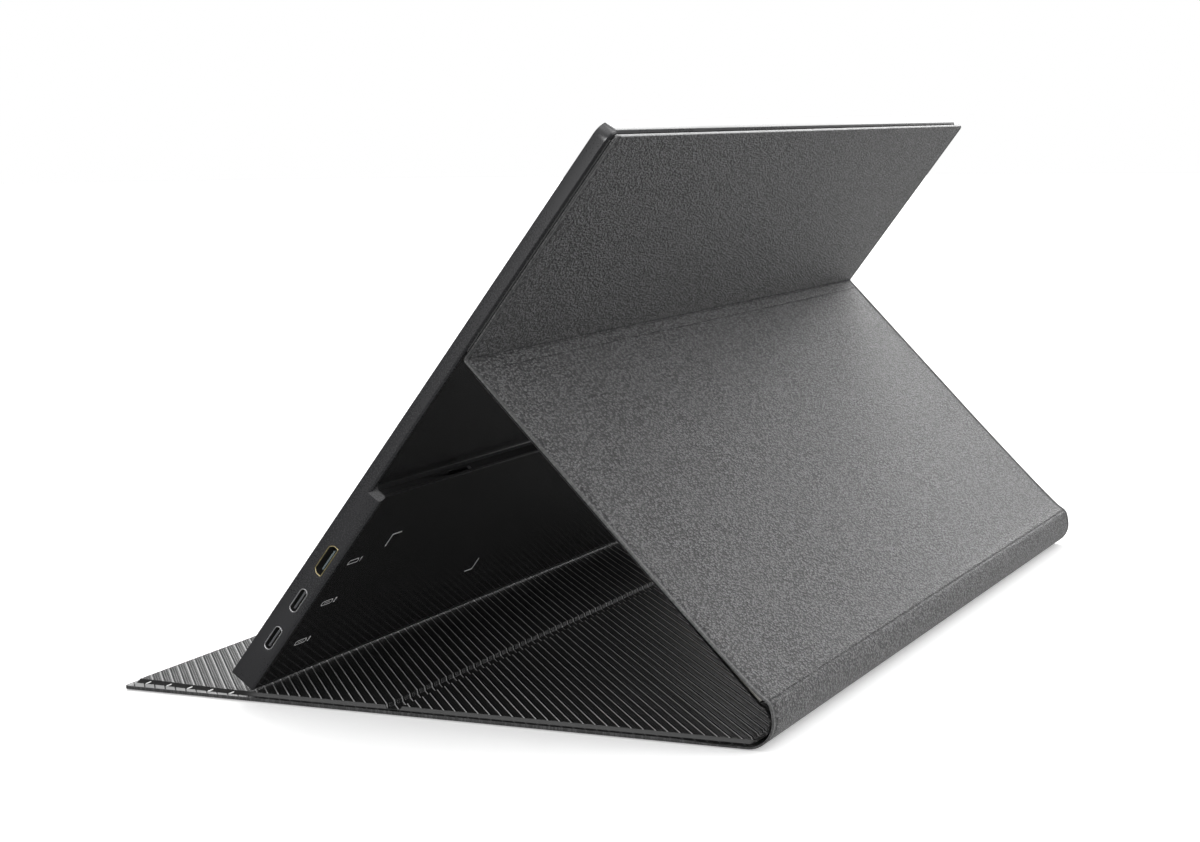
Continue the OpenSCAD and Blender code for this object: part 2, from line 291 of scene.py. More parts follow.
def arc(cx, cy, r, a0, a1, n):
    return [(cx + r * math.cos(math.radians(a0 + (a1 - a0) * i / n)),
             cy + r * math.sin(math.radians(a0 + (a1 - a0) * i / n))) for i in range(n + 1)]


def stadium(length, height, n=10):
    """Closed outline of a slot with round ends, along the first coordinate."""
    r, h = height / 2, length / 2 - height / 2
    return arc(h, 0, r, -90, 90, n) + arc(-h, 0, r, 90, 270, n)


def loft(rings, closed_ends=(True, True), loop=True):
    """Vertices and faces of rings joined in order; each ring is a closed outline with the same count."""
    n = len(rings[0])
    verts = [p for r in rings for p in r]
    faces = []
    for k in range(len(rings) - 1):
        for i in range(n):
            j = (i + 1) % n
            faces.append((k * n + i, k * n + j, (k + 1) * n + j, (k + 1) * n + i))
    if closed_ends[0]:
        faces.append(tuple(range(n))[::-1])
    if closed_ends[1]:
        faces.append(tuple((len(rings) - 1) * n + i for i in range(n)))
    return np.array(verts, float), faces


# ---------------------------------------------------------------- the cover's outer path
# a path is a list of (y, z) with the inward normal, and its length t from the front edge of the flap
def poly_path(pts):
    pts = np.array(pts, float)
    d = np.r_[0, np.cumsum(np.hypot(*np.diff(pts, axis=0).T))]
    return pts, d


class Path:
    """A smooth curve through dense points, looked up by its length."""

    def __init__(self, pts, t0=0.0):
        self.p, d = poly_path(pts)
        self.t = d + t0

    def at(self, t):
        t = np.asarray(t, float)
        y = np.interp(t, self.t, self.p[:, 0])
        z = np.interp(t, self.t, self.p[:, 1])
        h = 0.05
        dy = np.interp(t + h, self.t, self.p[:, 0]) - np.interp(t - h, self.t, self.p[:, 0])
        dz = np.interp(t + h, self.t, self.p[:, 1]) - np.interp(t - h, self.t, self.p[:, 1])
        n = np.hypot(dy, dz) + 1e-12
        return np.stack([y, z], -1), np.stack([-dz / n, dy / n], -1)     # the normal is to the left: the inner side

    def t_of(self, yz):
        k = np.argmin(np.hypot(self.p[:, 0] - yz[0], self.p[:, 1] - yz[1]))
        return float(self.t[k])


def on_b(s, off=0.0):
    """A point on the back panel's outer plane, s up from the hinge line, off outwards."""
    return HINGE + s * VB - off * NB_IN


def on_a(s, off=0.0):
    return FOLD + s * U - off * NA_IN


def spline(pts, n):
    """Catmull-Rom through the points, n steps between each pair."""
    pts = [np.array(p, float) for p in pts]
    q = [2 * pts[0] - pts[1]] + pts + [2 * pts[-1] - pts[-2]]
    out = []
    for i in range(1, len(q) - 2):
        for k in range(n):
            t = k / n
            a, b, c, d = q[i - 1], q[i], q[i + 1], q[i + 2]
            out.append(0.5 * ((2 * b) + (c - a) * t + (2 * a - 5 * b + 4 * c - d) * t * t + (3 * b - a - 3 * c + d) * t ** 3))
    out.append(pts[-1])
    return out


def b_bulge(s):
    """How far the back panel's skin stands outside its plane near the spine."""
    return 0.55 * (1 - smooth(0, 60, s)) + 1.15 * np.exp(-np.asarray(s, float) / 7.0)


# outer face: flap and base, the soft spine, the back panel, the fold, the top panel
spine_c, spine_r = np.array([97.2, 7.95]), 7.95
FR = 0.4                                        # inner radius of the upper fold
ft = FR * math.tan((math.pi - (BETA + TILT)) / 2 * 0 + (math.radians(80.932)) / 2)
outer = [(y, 0.0) for y in np.arange(FLAP_Y, 97.2, 0.5)]
outer += [tuple(p) for p in arc(spine_c[0], spine_c[1], spine_r, -90, 8, 40)]
top_of_roll = [outer[-1]]
ctrl = [outer[-1], (104.70, 11.3), (103.75, 13.6)]
for s in (4.0, 6.5, 9.0, 12.0):
    ctrl.append(tuple(on_b(s, float(b_bulge(s)))))
outer += [tuple(p) for p in spline(ctrl, 12)[1:]]
outer += [tuple(on_b(s, float(b_bulge(s)))) for s in np.arange(12.5, 60, 0.5)]
outer += [tuple(on_b(s)) for s in np.arange(60, B_LEN - ft - 0.05, 0.5)]
fc = on_b(B_LEN - ft, FR)                       # centre of the fold's bend, outside the skin
a0 = math.degrees(math.atan2(*(on_b(B_LEN - ft) - fc)[::-1]))
a1 = math.degrees(math.atan2(*(on_a(ft) - fc)[::-1]))
if a1 > a0:
    a1 -= 360
fold_arc = arc(fc[0], fc[1], FR, a0, a1, 14)
outer += fold_arc
outer += [tuple(on_a(s)) for s in np.arange(ft + 0.4, A_LEN, 0.5)] + [tuple(on_a(A_LEN))]
OUT = Path(outer)
T_END = OUT.t[-1]
T_CREASE = CREASE - FLAP_Y
T_FOLD = OUT.t_of(fold_arc[7])
T_FOLD_B = OUT.t_of(fold_arc[0])
T_FOLD_A = OUT.t_of(fold_arc[-1])
T_B0 = OUT.t_of(on_b(4.0, float(b_bulge(4.0)))) - 4.0         # where s would be 0 on the back panel
T_MID = OUT.t_of(outer[len(np.arange(FLAP_Y, 97.2, 0.5)) + 26])   # middle of the roll


def t_on_b(s):
    return T_FOLD_B - (B_LEN - ft - s)


def corner(x, t, t_end):
    """Moves sheet points near the cover's four corners onto round corners. Returns x, t, the distance from the edge,
    from the nearest side and from the nearest end."""
    x, t = np.asarray(x, float).copy(), np.asarray(t, float).copy()
    ex = COV - np.abs(x)
    e = ex.copy()
    for end, sign, r in ((0.0, 1.0, 1.2), (t_end, -1.0, 2.0)):
        et = (t - end) * sign
        a, b = (r - ex) / r, (r - et) / r
        m = (a > 0) & (b > 0)
        aa, bb = a * np.sqrt(np.clip(1 - b * b / 2, 0, 1)), b * np.sqrt(np.clip(1 - a * a / 2, 0, 1))
        x = np.where(m, np.sign(x) * (COV - r + r * aa), x)
        t = np.where(m, end + sign * (r - r * bb), t)
        e = np.where(m, r - r * np.hypot(aa, bb), np.minimum(e, et))
    return x, t, e, COV - np.abs(x), np.minimum(t, t_end - t)


# ---------------------------------------------------------------- materials of the cover
def leather():
    """Fine pebbled synthetic leather; the sheet attribute holds x, the length along the cover and the distance from the side
    edge, in mm, the last one negative on the cut ends."""
    m = Mat("skin_leather", rough=0.4, spec=0.36, sheen=0.03, sheen_rough=0.45)
    a = m.attr("sheet")
    sep = m.node("ShaderNodeSeparateXYZ")
    m.link(a.outputs["Vector"], sep.inputs[0])
    comb = m.node("ShaderNodeCombineXYZ")
    m.link(sep.outputs[0], comb.inputs[0])
    m.link(sep.outputs[1], comb.inputs[1])
    flat = comb.outputs[0]
    # the skin is drawn out along the hinge lines, so its pebbles are longer that way
    drawn = m.node("ShaderNodeVectorMath", operation="MULTIPLY")
    m.link(flat, drawn.inputs[0])
    drawn.inputs[1].default_value = (PULL, 1.0, 0.0)
    uv = drawn.outputs[0]
    warp = m.node("ShaderNodeTexNoise", noise_dimensions="2D")
    m.link(uv, warp.inputs["Vector"])
    warp.inputs["Scale"].default_value = 1.4
    warp.inputs["Detail"].default_value = 2
    wv = m.node("ShaderNodeVectorMath", operation="MULTIPLY_ADD")
    m.link(warp.outputs["Color"], wv.inputs[0])
    wv.inputs[1].default_value = (0.4, 0.4, 0)
    m.link(uv, wv.inputs[2])
    pebble = m.voronoi(wv.outputs[0], PEBBLE, "SMOOTH_F1", smoothness=0.25)
    small = m.voronoi(wv.outputs[0], PEBBLE * 2.1, "F1")
    fine = m.noise(uv, PEBBLE * 2.5, 3, 0.6, dims="2D")
    broad = m.noise(flat, 0.045, 3, 0.55, dims="2D")
    h = m.math("SUBTRACT", m.math("MULTIPLY_ADD", fine, 0.5, 0.65), m.math("MULTIPLY", pebble, 0.85))
    h = m.math("SUBTRACT", h, m.math("MULTIPLY", small, 0.3))
    grain = m.ramp(sep.outputs[2], 1.7, 3.6)
    amount = m.math("MULTIPLY_ADD", grain, 0.80, 0.20)
    # pressed lines across the cover, a little uneven
    jag = m.noise(flat, 0.7, 4, 0.7, dims="2D")
    lines = None
    for at, half, wander, deep in LINES:
        d = m.math("ABSOLUTE", m.math("SUBTRACT", m.math("MULTIPLY_ADD", jag, wander, sep.outputs[1]), at + wander * 0.5))
        k = m.math("MULTIPLY", m.ramp(d, half * 0.25, half, 1.0, 0.0), deep)
        lines = k if lines is None else m.math("MAXIMUM", lines, k)
    lines = m.math("MULTIPLY", lines, m.ramp(sep.outputs[2], 1.4, 2.6))
    hh = m.math("MULTIPLY", h, amount)
    nrm = m.bump(m.math("SUBTRACT", hh, m.math("MULTIPLY", lines, 0.35)), LEATHER_BUMP * MM, 1.0)
    tone = m.ramp(h, 0.18, 0.62)
    col = m.mix(tone, LEATHER_DARK, LEATHER_LIGHT)
    col = m.mix(m.ramp(broad, 0.3, 0.7, 0.0, 0.22), col, (0.090, 0.090, 0.092))
    hem = m.ramp(sep.outputs[2], 1.0, 3.4, 1.0, 0.0)
    col = m.mix(m.math("MULTIPLY", hem, 0.45), col, (0.065, 0.065, 0.066))
    rim = m.ramp(sep.outputs[2], 0.3, 0.8, 1.0, 0.0)
    col = m.mix(m.math("MULTIPLY", rim, 0.5), col, (0.07, 0.07, 0.07))
    # painted shade: the pressed lines are also darkened in colour, as if shade lay in them
    col = m.mix(m.math("MULTIPLY", lines, 0.8), col, (0.014, 0.014, 0.015))
    # the cut ends get a lighter, smoother edge coat; its lightness is also a painted highlight for light caught along
    # the cover's top edge
    cut_end = m.ramp(sep.outputs[2], -0.4, -0.1, 1.0, 0.0)
    col = m.mix(cut_end, col, (0.22, 0.22, 0.22))
    rough = m.math("MULTIPLY_ADD", fine, 0.16, LEATHER_ROUGH)
    rough = m.math("MULTIPLY_ADD", lines, 0.45, rough)
    rough = m.math("SUBTRACT", rough, m.math("MULTIPLY", cut_end, 0.2))
    return m.out(col, rough, nrm)


def ribbed():
    """Woven lining: rows of small stitches between smooth raised yarns. The sheet attribute's last part is the distance from
    the edge: past HEM1 lies the board, between HEM0 and HEM1 the step down from it, below HEM0 the hem."""
    m = Mat("lining_ribbed", rough=0.45, spec=0.22, sheen=0.01, sheen_rough=0.4)
    a = m.attr("sheet")
    sep = m.node("ShaderNodeSeparateXYZ")
    m.link(a.outputs["Vector"], sep.inputs[0])
    x, t, e = sep.outputs[0], sep.outputs[1], sep.outputs[2]
    # across: rib count; along: millimetres along a rib
    across = m.math("MULTIPLY_ADD", t, RIB[1] / PITCH, PHASE)
    across = m.math("SUBTRACT", across, m.math("MULTIPLY", x, RIB[0] / PITCH))
    along = m.math("ADD", m.math("MULTIPLY", x, RIB[1]), m.math("MULTIPLY", t, RIB[0]))
    q = m.math("FRACT", across)
    band = m.math("MULTIPLY", m.ramp(q, 0.06, 0.12), m.ramp(q, 0.70, 0.76, 1.0, 0.0))
    ridge = m.math("MULTIPLY", m.ramp(q, 0.765, 0.80), m.ramp(q, 0.885, 0.92, 1.0, 0.0))
    on_board = m.ramp(e, HEM1 - 0.12, HEM1 + 0.08)
    on_hem = m.ramp(e, HEM0 - 0.1, HEM0 + 0.1, 1.0, 0.0)
    step = m.math("SUBTRACT", 1.0, m.math("ADD", on_board, on_hem), clamp=True)
    # stitches: short rows across the band, offset by half in every second column
    col_i = m.math("MULTIPLY", q, 4.0)
    shift = m.math("MULTIPLY", m.math("FLOOR", col_i), 0.5)
    row = m.math("FRACT", m.math("ADD", m.math("MULTIPLY", along, 1 / 0.62), shift))
    cell = m.math("FRACT", col_i)
    bumpy = m.math("MULTIPLY", m.math("SINE", m.math("MULTIPLY", row, math.pi)),
                   m.math("SINE", m.math("MULTIPLY", cell, math.pi)))
    comb = m.node("ShaderNodeCombineXYZ")
    m.link(x, comb.inputs[0])
    m.link(t, comb.inputs[1])
    fuzz = m.noise(comb.outputs[0], 5.0, 3, 0.6, dims="2D")
    patch = m.noise(comb.outputs[0], 0.08, 3, 0.5, dims="2D")
    woven = m.math("MULTIPLY", m.math("MULTIPLY", bumpy, band), on_board)
    h = m.math("ADD", m.math("MULTIPLY", woven, 0.8), m.math("MULTIPLY", fuzz, 0.25))
    nrm = m.bump(h, 0.17 * MM, 1.0)
    base = m.mix(woven, (0.004, 0.004, 0.004), (0.016, 0.016, 0.0165))
    groove = m.math("SUBTRACT", 1.0, m.math("MAXIMUM", band, ridge))
    groove = m.math("MULTIPLY", groove, m.math("SUBTRACT", 1.0, step))
    base = m.mix(groove, base, (0.003, 0.003, 0.003))
    # painted highlight: the raised yarns are coloured light so each ridge reads as lit; this is halved on the flap and
    # faint on the hem
    on_flap = m.ramp(t, 41.0, 47.0, 1.0, 0.0)
    yarn = m.math("MULTIPLY", ridge, m.math("MULTIPLY_ADD", on_hem, 0.1, on_board))
    yarn = m.math("MULTIPLY", yarn, m.math("MULTIPLY_ADD", on_flap, -0.5, 1.0))
    base = m.mix(yarn, base, RIDGE_PAINTED_HIGHLIGHT)
    base = m.mix(m.ramp(patch, 0.35, 0.7, 0.0, 0.12), base, (0.02, 0.02, 0.02))
    # painted light on the flap's hem: it is coloured light, with a tick where each groove runs out; the step above is
    # painted dark (painted shade) on the flap and lighter (painted light) elsewhere
    tick = m.math("MAXIMUM", m.ramp(q, 0.90, 0.93), m.ramp(q, 0.05, 0.08, 1.0, 0.0))
    light = m.math("MULTIPLY", m.ramp(e, HEM0 - 0.25, HEM0 - 0.1, 1.0, 0.0), m.math("MULTIPLY", on_flap, m.math("SUBTRACT", 1.0, m.math("MULTIPLY", tick, 0.85))))
    base = m.mix(light, base, (0.34, 0.34, 0.34))
    base = m.mix(m.math("MULTIPLY", step, 0.8), base, m.mix(on_flap, (0.10, 0.10, 0.10), (0.02, 0.02, 0.02)))
    rough = m.math("MULTIPLY_ADD", fuzz, 0.15, LINING_ROUGH)
    return m.out(base, rough, nrm)


# the first value is the raised yarns' light colour, a painted highlight along each ridge
RIDGE_PAINTED_HIGHLIGHT, LINING_ROUGH = (0.60, 0.60, 0.60), 0.34
HEM0, HEM1 = 1.9, 2.7
# ribs run along (+X, +Y) at about 37 degrees; PITCH is across them
RIB = (0.607, 0.794)
PITCH = 2.938
# the raised yarn passes x 177.3, y 28.45 on the base; 0.855 is its middle in a pitch
PHASE = 0.855 - ((28.45 - FLAP_Y) * RIB[1] - 177.3 * RIB[0]) / PITCH
PHASE -= math.floor(PHASE)
RIB_Q = (0.02, 0.09, 0.73, 0.78, 0.91, 0.96)
RIB_H = (-0.26, 0.0, 0.0, 0.085, 0.085, -0.26)


def rib_height(x, t):
    q = (np.asarray(t) * RIB[1] - np.asarray(x) * RIB[0]) / PITCH + PHASE
    q = q - np.floor(q)
    return np.interp(q, (RIB_Q[-1] - 1,) + RIB_Q + (1 + RIB_Q[0],), (RIB_H[-1],) + RIB_H + (RIB_H[0],))


PEBBLE, PULL = 1.60, 0.52
LEATHER_LIGHT, LEATHER_DARK = (0.20, 0.20, 0.202), (0.012, 0.012, 0.013)
LEATHER_ROUGH, LEATHER_BUMP = 0.32, 0.58
# pressed lines of the skin: length along the cover, half width, wander, strength
LINES = ((t_on_b(B_LEN - 4.3), 0.34, 0.40, 0.42), (T_FOLD, 0.62, 0.60, 0.50), (T_B0 + 1.2, 0.50, 0.50, 0.48))
SKIN = leather()
LINING = ribbed()

EDGE = [0, 0.07, 0.2, 0.42, 0.75, 1.1, 1.5, 2.0, 2.5, 3.0, 3.6, 4.4, 5.5, 7.0]


def columns(step):
    e = [c for c in EDGE]
    inner = list(np.linspace(EDGE[-1], COV, max(2, int((COV - EDGE[-1]) / step)) + 1)[1:])
    right = [COV - v for v in e + inner]
    xs = sorted(set(round(v, 5) for v in right) | set(round(-v, 5) for v in right))
    return np.array(xs)


def valley(t, at, depth, half):
    return depth * np.exp(-((np.asarray(t, float) - at) / half) ** 2)


def skin_depth(x, t, e, side):
    """Depth of the skin's outer face under the path, in mm."""
    d = 0.24 * smooth(0.65, 1.4, side) * (1 - smooth(2.5, 3.9, side))
    d = d + 0.15 * (1 - np.sqrt(np.clip(1 - np.clip((0.28 - e) / 0.28, 0, 1) ** 2, 0, 1)))
    wob = 1 + 0.28 * np.sin(x / 5.3) * np.sin(x / 2.1 + 0.7) + 0.12 * np.sin(x / 1.3)
    keep = smooth(0.6, 2.4, side)
    d = d + keep * valley(t, t_on_b(B_LEN - 4.3), 0.09, 0.32) * wob
    d = d + keep * valley(t, T_FOLD, 0.13, 0.45) * wob
    d = d + keep * valley(t, T_B0 + 1.2, 0.12, 0.45) * wob
    for y in (-16.9, -11.1):
        d = d + keep * valley(t, y - FLAP_Y, 0.18, 0.6)
    return d


def skin_piece(name, ts, stands_for):
    xs = columns(3.0)
    ts = np.array(ts)
    X, T = np.meshgrid(xs, ts)
    x, t, e, side, tip = corner(X.ravel(), T.ravel(), T_END)
    yz, nrm = OUT.at(t)
    d = skin_depth(x, t, e, side)
    outer_p = yz + nrm * d[:, None]
    near_floor = 1 - smooth(84 - FLAP_Y, 97 - FLAP_Y, t)
    low = 0.6 + 0.5 * (1 - smooth(0.21, 0.41, np.where(near_floor > 0, np.minimum(tip, side + 9 * (1 - near_floor)), tip)))
    inner_p = yz + nrm * np.maximum(low, d + 0.05)[:, None]
    n, k = X.shape
    idx = np.arange(n * k).reshape(n, k)
    faces = []
    for a, flip in ((0, False), (n * k, True)):
        q = np.stack([idx[:-1, :-1], idx[:-1, 1:], idx[1:, 1:], idx[1:, :-1]], -1).reshape(-1, 4) + a
        faces += [tuple(f[::-1] if flip else f) for f in q.tolist()]
    ring = list(idx[0, :]) + list(idx[1:, -1]) + list(idx[-1, -2::-1]) + list(idx[-2:0:-1, 0])
    for i in range(len(ring)):
        a, b = int(ring[i]), int(ring[(i + 1) % len(ring)])
        faces.append((b, a, a + n * k, b + n * k))
    verts = np.vstack([to_row(x, outer_p), to_row(x, inner_p)])
    sheet = np.column_stack([x, t, np.where(tip < 0.01, -0.5, np.maximum(side, 0))])
    o = make(name, verts, faces, SKIN, sharp=50, attrs={"sheet": np.vstack([sheet, sheet])})
    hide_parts(*stands_for)
    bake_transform(o)
    return o


def rows(*parts):
    """Sorted values from numbers and (from, to, step) triples."""
    out = set()
    for p in parts:
        if isinstance(p, tuple):
            n = max(1, int(round((p[1] - p[0]) / p[2])))
            out |= {round(float(v), 4) for v in np.linspace(p[0], p[1], n + 1)}
        else:
            out.add(round(float(p), 4))
    s = sorted(out)
    keep = [s[0]]
    for v in s[1:]:
        if v - keep[-1] > 0.06 or v == s[-1]:
            if v - keep[-1] <= 0.06:
                keep[-1] = v
            else:
                keep.append(v)
    return keep


T_S34 = 88.0 - FLAP_Y            # seam on the base
T_S12 = t_on_b(9.0)              # seam on the back panel
c = T_CREASE
S4 = skin_piece("skin_base", rows(*EDGE, (7, c - 8, 12), (c - 8, c + 8, 0.5), (c + 8, T_S34, 12)),
                ("base_skin", "flap_skin"))
S3 = skin_piece("skin_spine_low", rows((T_S34, 97.0 - FLAP_Y, 1.5), (97.0 - FLAP_Y, T_MID, 0.5)),
                ("spine_skin",))
S2 = skin_piece("skin_spine_top", rows((T_MID, T_B0 - 0.6, 0.4), (T_B0 - 0.6, T_B0 + 3, 0.15), (T_B0 + 3, T_S12, 1.0)),
                ("spine_skin",))
b1, b2 = t_on_b(B_LEN - 7.5), T_FOLD_A + 4
S1 = skin_piece("skin_back_and_top",
                rows((T_S12, t_on_b(60), 3), (t_on_b(60), b1, 12), (b1, T_FOLD_B - 1, 0.25), (T_FOLD_B - 1, T_FOLD_A + 1, 0.1), (T_FOLD_A + 1, b2, 0.4),
                     (b2, T_END - 7, 12), *[T_END - v for v in EDGE]),
                ("back_skin", "top_skin"))

# ---------------------------------------------------------------- lining
SOFT = 1.12                      # top of the lining over a hem, from the outer face
RAISE = 1.08                     # a board under it lifts it this much
lin_pts = [(y, SOFT) for y in np.arange(FLAP_Y, 97.6, 0.5)]
lin_pts += [tuple(p) for p in spline([(97.5, SOFT), (98.4, 1.62), (99.3, 2.4), (100.8, 3.4), (102.2, 4.45), (103.15, 5.5), (103.6, 6.8),
                                      (103.72, 8.0), (103.5, 9.4), (102.85, 10.85), (101.9, 11.8), tuple(on_b(2.0, -SOFT))], 8)[1:]]
lin_pts += [tuple(on_b(s, -SOFT)) for s in np.arange(2.4, B_LEN - ft - 0.05, 0.4)]
lin_fold = arc(fc[0], fc[1], FR + SOFT, a0, a1, 16)
lin_pts += lin_fold
lin_pts += [tuple(on_a(s, -SOFT)) for s in np.arange(ft + 0.3, A_LEN, 0.5)] + [tuple(on_a(A_LEN, -SOFT))]
LIN = Path(lin_pts)
L_END = LIN.t[-1]
l_of = lambda yz: LIN.t_of(yz)
L_FOLD_B, L_FOLD_A = l_of(lin_fold[0]), l_of(lin_fold[-1])
l_on_b = lambda s: L_FOLD_B - (B_LEN - ft - s)
l_on_a = lambda s: L_FOLD_A + (s - ft)
L_CHORD0, L_CHORD1 = l_of((98.0, SOFT)), l_of((99.3, 2.4))
L_MID = l_of((103.15, 5.5))
# boards: (where the lift starts, full, full, where it ends)
BOARDS = [(-1e9, -1e9, c - 2.8, c - 2.0), (c + 2.0, c + 2.8, L_CHORD0, L_CHORD1),
          (l_on_b(1.9), l_on_b(2.8), l_on_b(125.8), l_on_b(126.6)), (l_on_a(0.78), l_on_a(1.55), 1e9, 1e9)]


def lift(t, e):
    """Share of the board's lift, 0 on hems and soft strips, 1 on boards."""
    best = np.zeros_like(np.asarray(t, float))
    for p0, p1, p2, p3 in BOARDS:
        v = np.minimum(lin(p0, p1, t) if p0 > -1e8 else 1.0, (1 - lin(p2, p3, t)) if p3 < 1e8 else 1.0)
        best = np.maximum(best, v)
    return np.minimum(best, lin(HEM0, HEM1, e))


def FLAP_SPRING(t):
    """The flap's lining stands a little higher in front of the monitor's foot, which holds it down."""
    return np.interp(np.asarray(t) + FLAP_Y, (-106, -95, -85, -73, -62, -57), (0.85, 0.75, 0.45, 0.17, 0.04, 0.0))


def lining_mesh(xb, tb):
    """Polygons of a flat sheet cut along every rib line, row and column. Returns (x, t) points and faces."""
    pts, key, faces = [], {}, []

    def vid(x, t):
        k = (round(x, 3), round(t, 3))
        if k not in key:
            key[k] = len(pts)
            pts.append((x, t))
        return key[k]

    def clip(poly, x0, keep_right):
        out = []
        for i in range(len(poly)):
            a, b = poly[i], poly[(i + 1) % len(poly)]
            ia, ib = (a[0] >= x0) == keep_right or a[0] == x0, (b[0] >= x0) == keep_right or b[0] == x0
            if ia:
                out.append(a)
            if ia != ib and a[0] != b[0]:
                f = (x0 - a[0]) / (b[0] - a[0])
                p = (x0, a[1] + f * (b[1] - a[1]))
                if not out or abs(out[-1][0] - p[0]) + abs(out[-1][1] - p[1]) > 1e-6:
                    out.append(p)
        return out

    lo_x, hi_x = xb[0], xb[-1]
    for t0, t1 in zip(tb[:-1], tb[1:]):
        qa = (t0 * RIB[1] - hi_x * RIB[0]) / PITCH + PHASE
        qb = (t1 * RIB[1] - lo_x * RIB[0]) / PITCH + PHASE
        qs = [i + f for i in range(math.floor(qa) - 1, math.ceil(qb) + 1) for f in RIB_Q]
        xa = [(t0 * RIB[1] - (q - PHASE) * PITCH) / RIB[0] for q in qs]
        xc = [(t1 * RIB[1] - (q - PHASE) * PITCH) / RIB[0] for q in qs]
        for k in range(len(qs) - 1):
            if xc[k] <= lo_x or xa[k + 1] >= hi_x:
                continue
            poly = [(xa[k], t0), (xc[k], t1), (xc[k + 1], t1), (xa[k + 1], t0)]
            left, right = xa[k + 1], xc[k]
            rest = poly
            for xl in xb:
                if xl <= left:
                    continue
                if xl >= right:
                    break
                part = clip(rest, xl, False) if xl > lo_x else None
                rest = clip(rest, xl, True)
                if part and len(part) > 2:
                    ids = [vid(*p) for p in part]
                    ids = [v for i, v in enumerate(ids) if v != ids[i - 1]]
                    if len(ids) > 2:
                        faces.append(ids)
                if len(rest) < 3 or xl >= hi_x:
                    break
            else:
                xl = None
            if len(rest) > 2 and max(p[0] for p in rest) <= hi_x + 1e-9 and min(p[0] for p in rest) >= lo_x - 1e-9:
                ids = [vid(*p) for p in rest]
                ids = [v for i, v in enumerate(ids) if v != ids[i - 1]]
                if len(ids) > 2:
                    faces.append(ids)
    return np.array(pts), faces


REC = 0.35                       # the lining stops this far inside the skin's edge
XB = sorted(s * (COV - v) for v in (REC, 0.6, 1.0, HEM0, 2.3, HEM1, 3.1) for s in (-1, 1))


def lining_piece(name, ts, stands_for, free=False, ridge=1.0):
    pts, faces = lining_mesh(XB, list(ts))
    x, t, e, side, tip = corner(pts[:, 0], pts[:, 1], L_END)
    # the flap's front hem is wider than the others
    e = np.minimum(side, np.minimum(np.maximum(t - 1.3, np.minimum(t, REC + 0.25)), L_END - t))
    yz, nrm = LIN.at(t)
    up = lift(t, e)
    loose = smooth(L_CHORD0, L_CHORD1, t) * (1 - smooth(l_on_b(1.0), l_on_b(2.0), t))
    fade = np.where(e < HEM0 + 0.05, 0.30, 0.10 + 0.90 * lin(HEM1 - 0.05, HEM1 + 0.35, e))
    rib = rib_height(pts[:, 0], pts[:, 1]) * np.maximum(fade, loose)
    if ridge != 1.0:
        rib = np.where(rib > 0, rib * ridge, rib)
    spring = FLAP_SPRING(t) * lin(REC, HEM0, e)
    level = RAISE * up + spring
    # the hem's edge turns down
    edge = 0.12 * (1 - lin(REC, 0.8, e)) * (1 - loose)
    top = yz + nrm * (level + rib - edge)[:, None]
    thick = np.maximum(0.17 + 0.28 * lin(HEM0, HEM1, e), 0.45 * loose) + spring
    bottom = yz + nrm * (level - thick)[:, None]
    n = len(pts)
    fl = [f for f in faces] + [[v + n for v in reversed(f)] for f in faces]
    edges = {}
    for f in faces:
        for i in range(len(f)):
            a, b = f[i - 1], f[i]
            edges[(a, b)] = edges.get((a, b), 0) + 1
    for (a, b) in edges:
        if (b, a) not in edges:
            fl.append([b, a, a + n, b + n])
    verts = np.vstack([to_row(x, top), to_row(x, bottom)])
    sheet = np.column_stack([pts[:, 0], pts[:, 1], np.maximum(e, 0)])
    o = make(name, verts, fl, LINING, sharp=40, attrs={"sheet": np.vstack([sheet, sheet])})
    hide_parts(*stands_for)
    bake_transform(o)
    return o


l34 = 90.0 - FLAP_Y
l12 = l_on_b(9.0)
LE = [REC, 0.6, 1.0, 1.4, HEM0, 2.3, HEM1, 3.1]
L4 = lining_piece("lining_base", rows(*LE, 3.2, 3.6, 4.0, 4.4, 11.1, 21.1, 33.1, 44.1, 49.1, (50, c - 3.2, 40), (c - 3.2, c + 3.2, 0.4), (c + 3.2, l34, 50)),
                  ("base_lining", "flap_lining"))
L3 = lining_piece("lining_spine_low", rows((l34, 95 - FLAP_Y, 2.5), (95 - FLAP_Y, L_MID, 0.5)),
                  ("spine_lining",))
L2 = lining_piece("lining_spine_top", rows((L_MID, l_on_b(3.2), 0.45), (l_on_b(3.2), l12, 3)),
                  ("spine_lining",))
L1 = lining_piece("lining_back_and_top",
                  rows((l12, l_on_b(125.4), 60), (l_on_b(125.4), L_FOLD_B, 0.4), (L_FOLD_B, L_FOLD_A, 0.22), (L_FOLD_A, l_on_a(1.9), 0.38),
                       (l_on_a(1.9), L_END - 3.1, 40), *[L_END - v for v in LE]),
                  ("back_lining", "top_lining"), ridge=0.6)

# ---------------------------------------------------------------- stitches that hold the flap's lining at its side steps
def thread():
    """Two-ply polished thread."""
    m = Mat("thread_white", rough=0.42, spec=0.5, sheen=0.2)
    p = m.obj(1000)
    w = m.node("ShaderNodeTexWave", bands_direction="DIAGONAL", wave_profile="SIN")
    m.link(p, w.inputs["Vector"])
    w.inputs["Scale"].default_value = 1.6
    w.inputs["Distortion"].default_value = 0.6
    n = m.noise(p, 6.0, 3)
    col = m.mix(w.outputs["Fac"], (0.72, 0.72, 0.71), (0.95, 0.95, 0.94))
    return m.out(col, m.math("MULTIPLY_ADD", n, 0.2, 0.34), m.bump(w.outputs["Fac"], 0.05 * MM, 1.0))


def on_step(x_side, e, y):
    z = SOFT + float(FLAP_SPRING(y - FLAP_Y)) * min(1, max(0, (e - REC) / (HEM0 - REC))) + RAISE * min(1, max(0, (e - HEM0) / (HEM1 - HEM0)))
    return np.array([x_side * (COV - e), y, z])


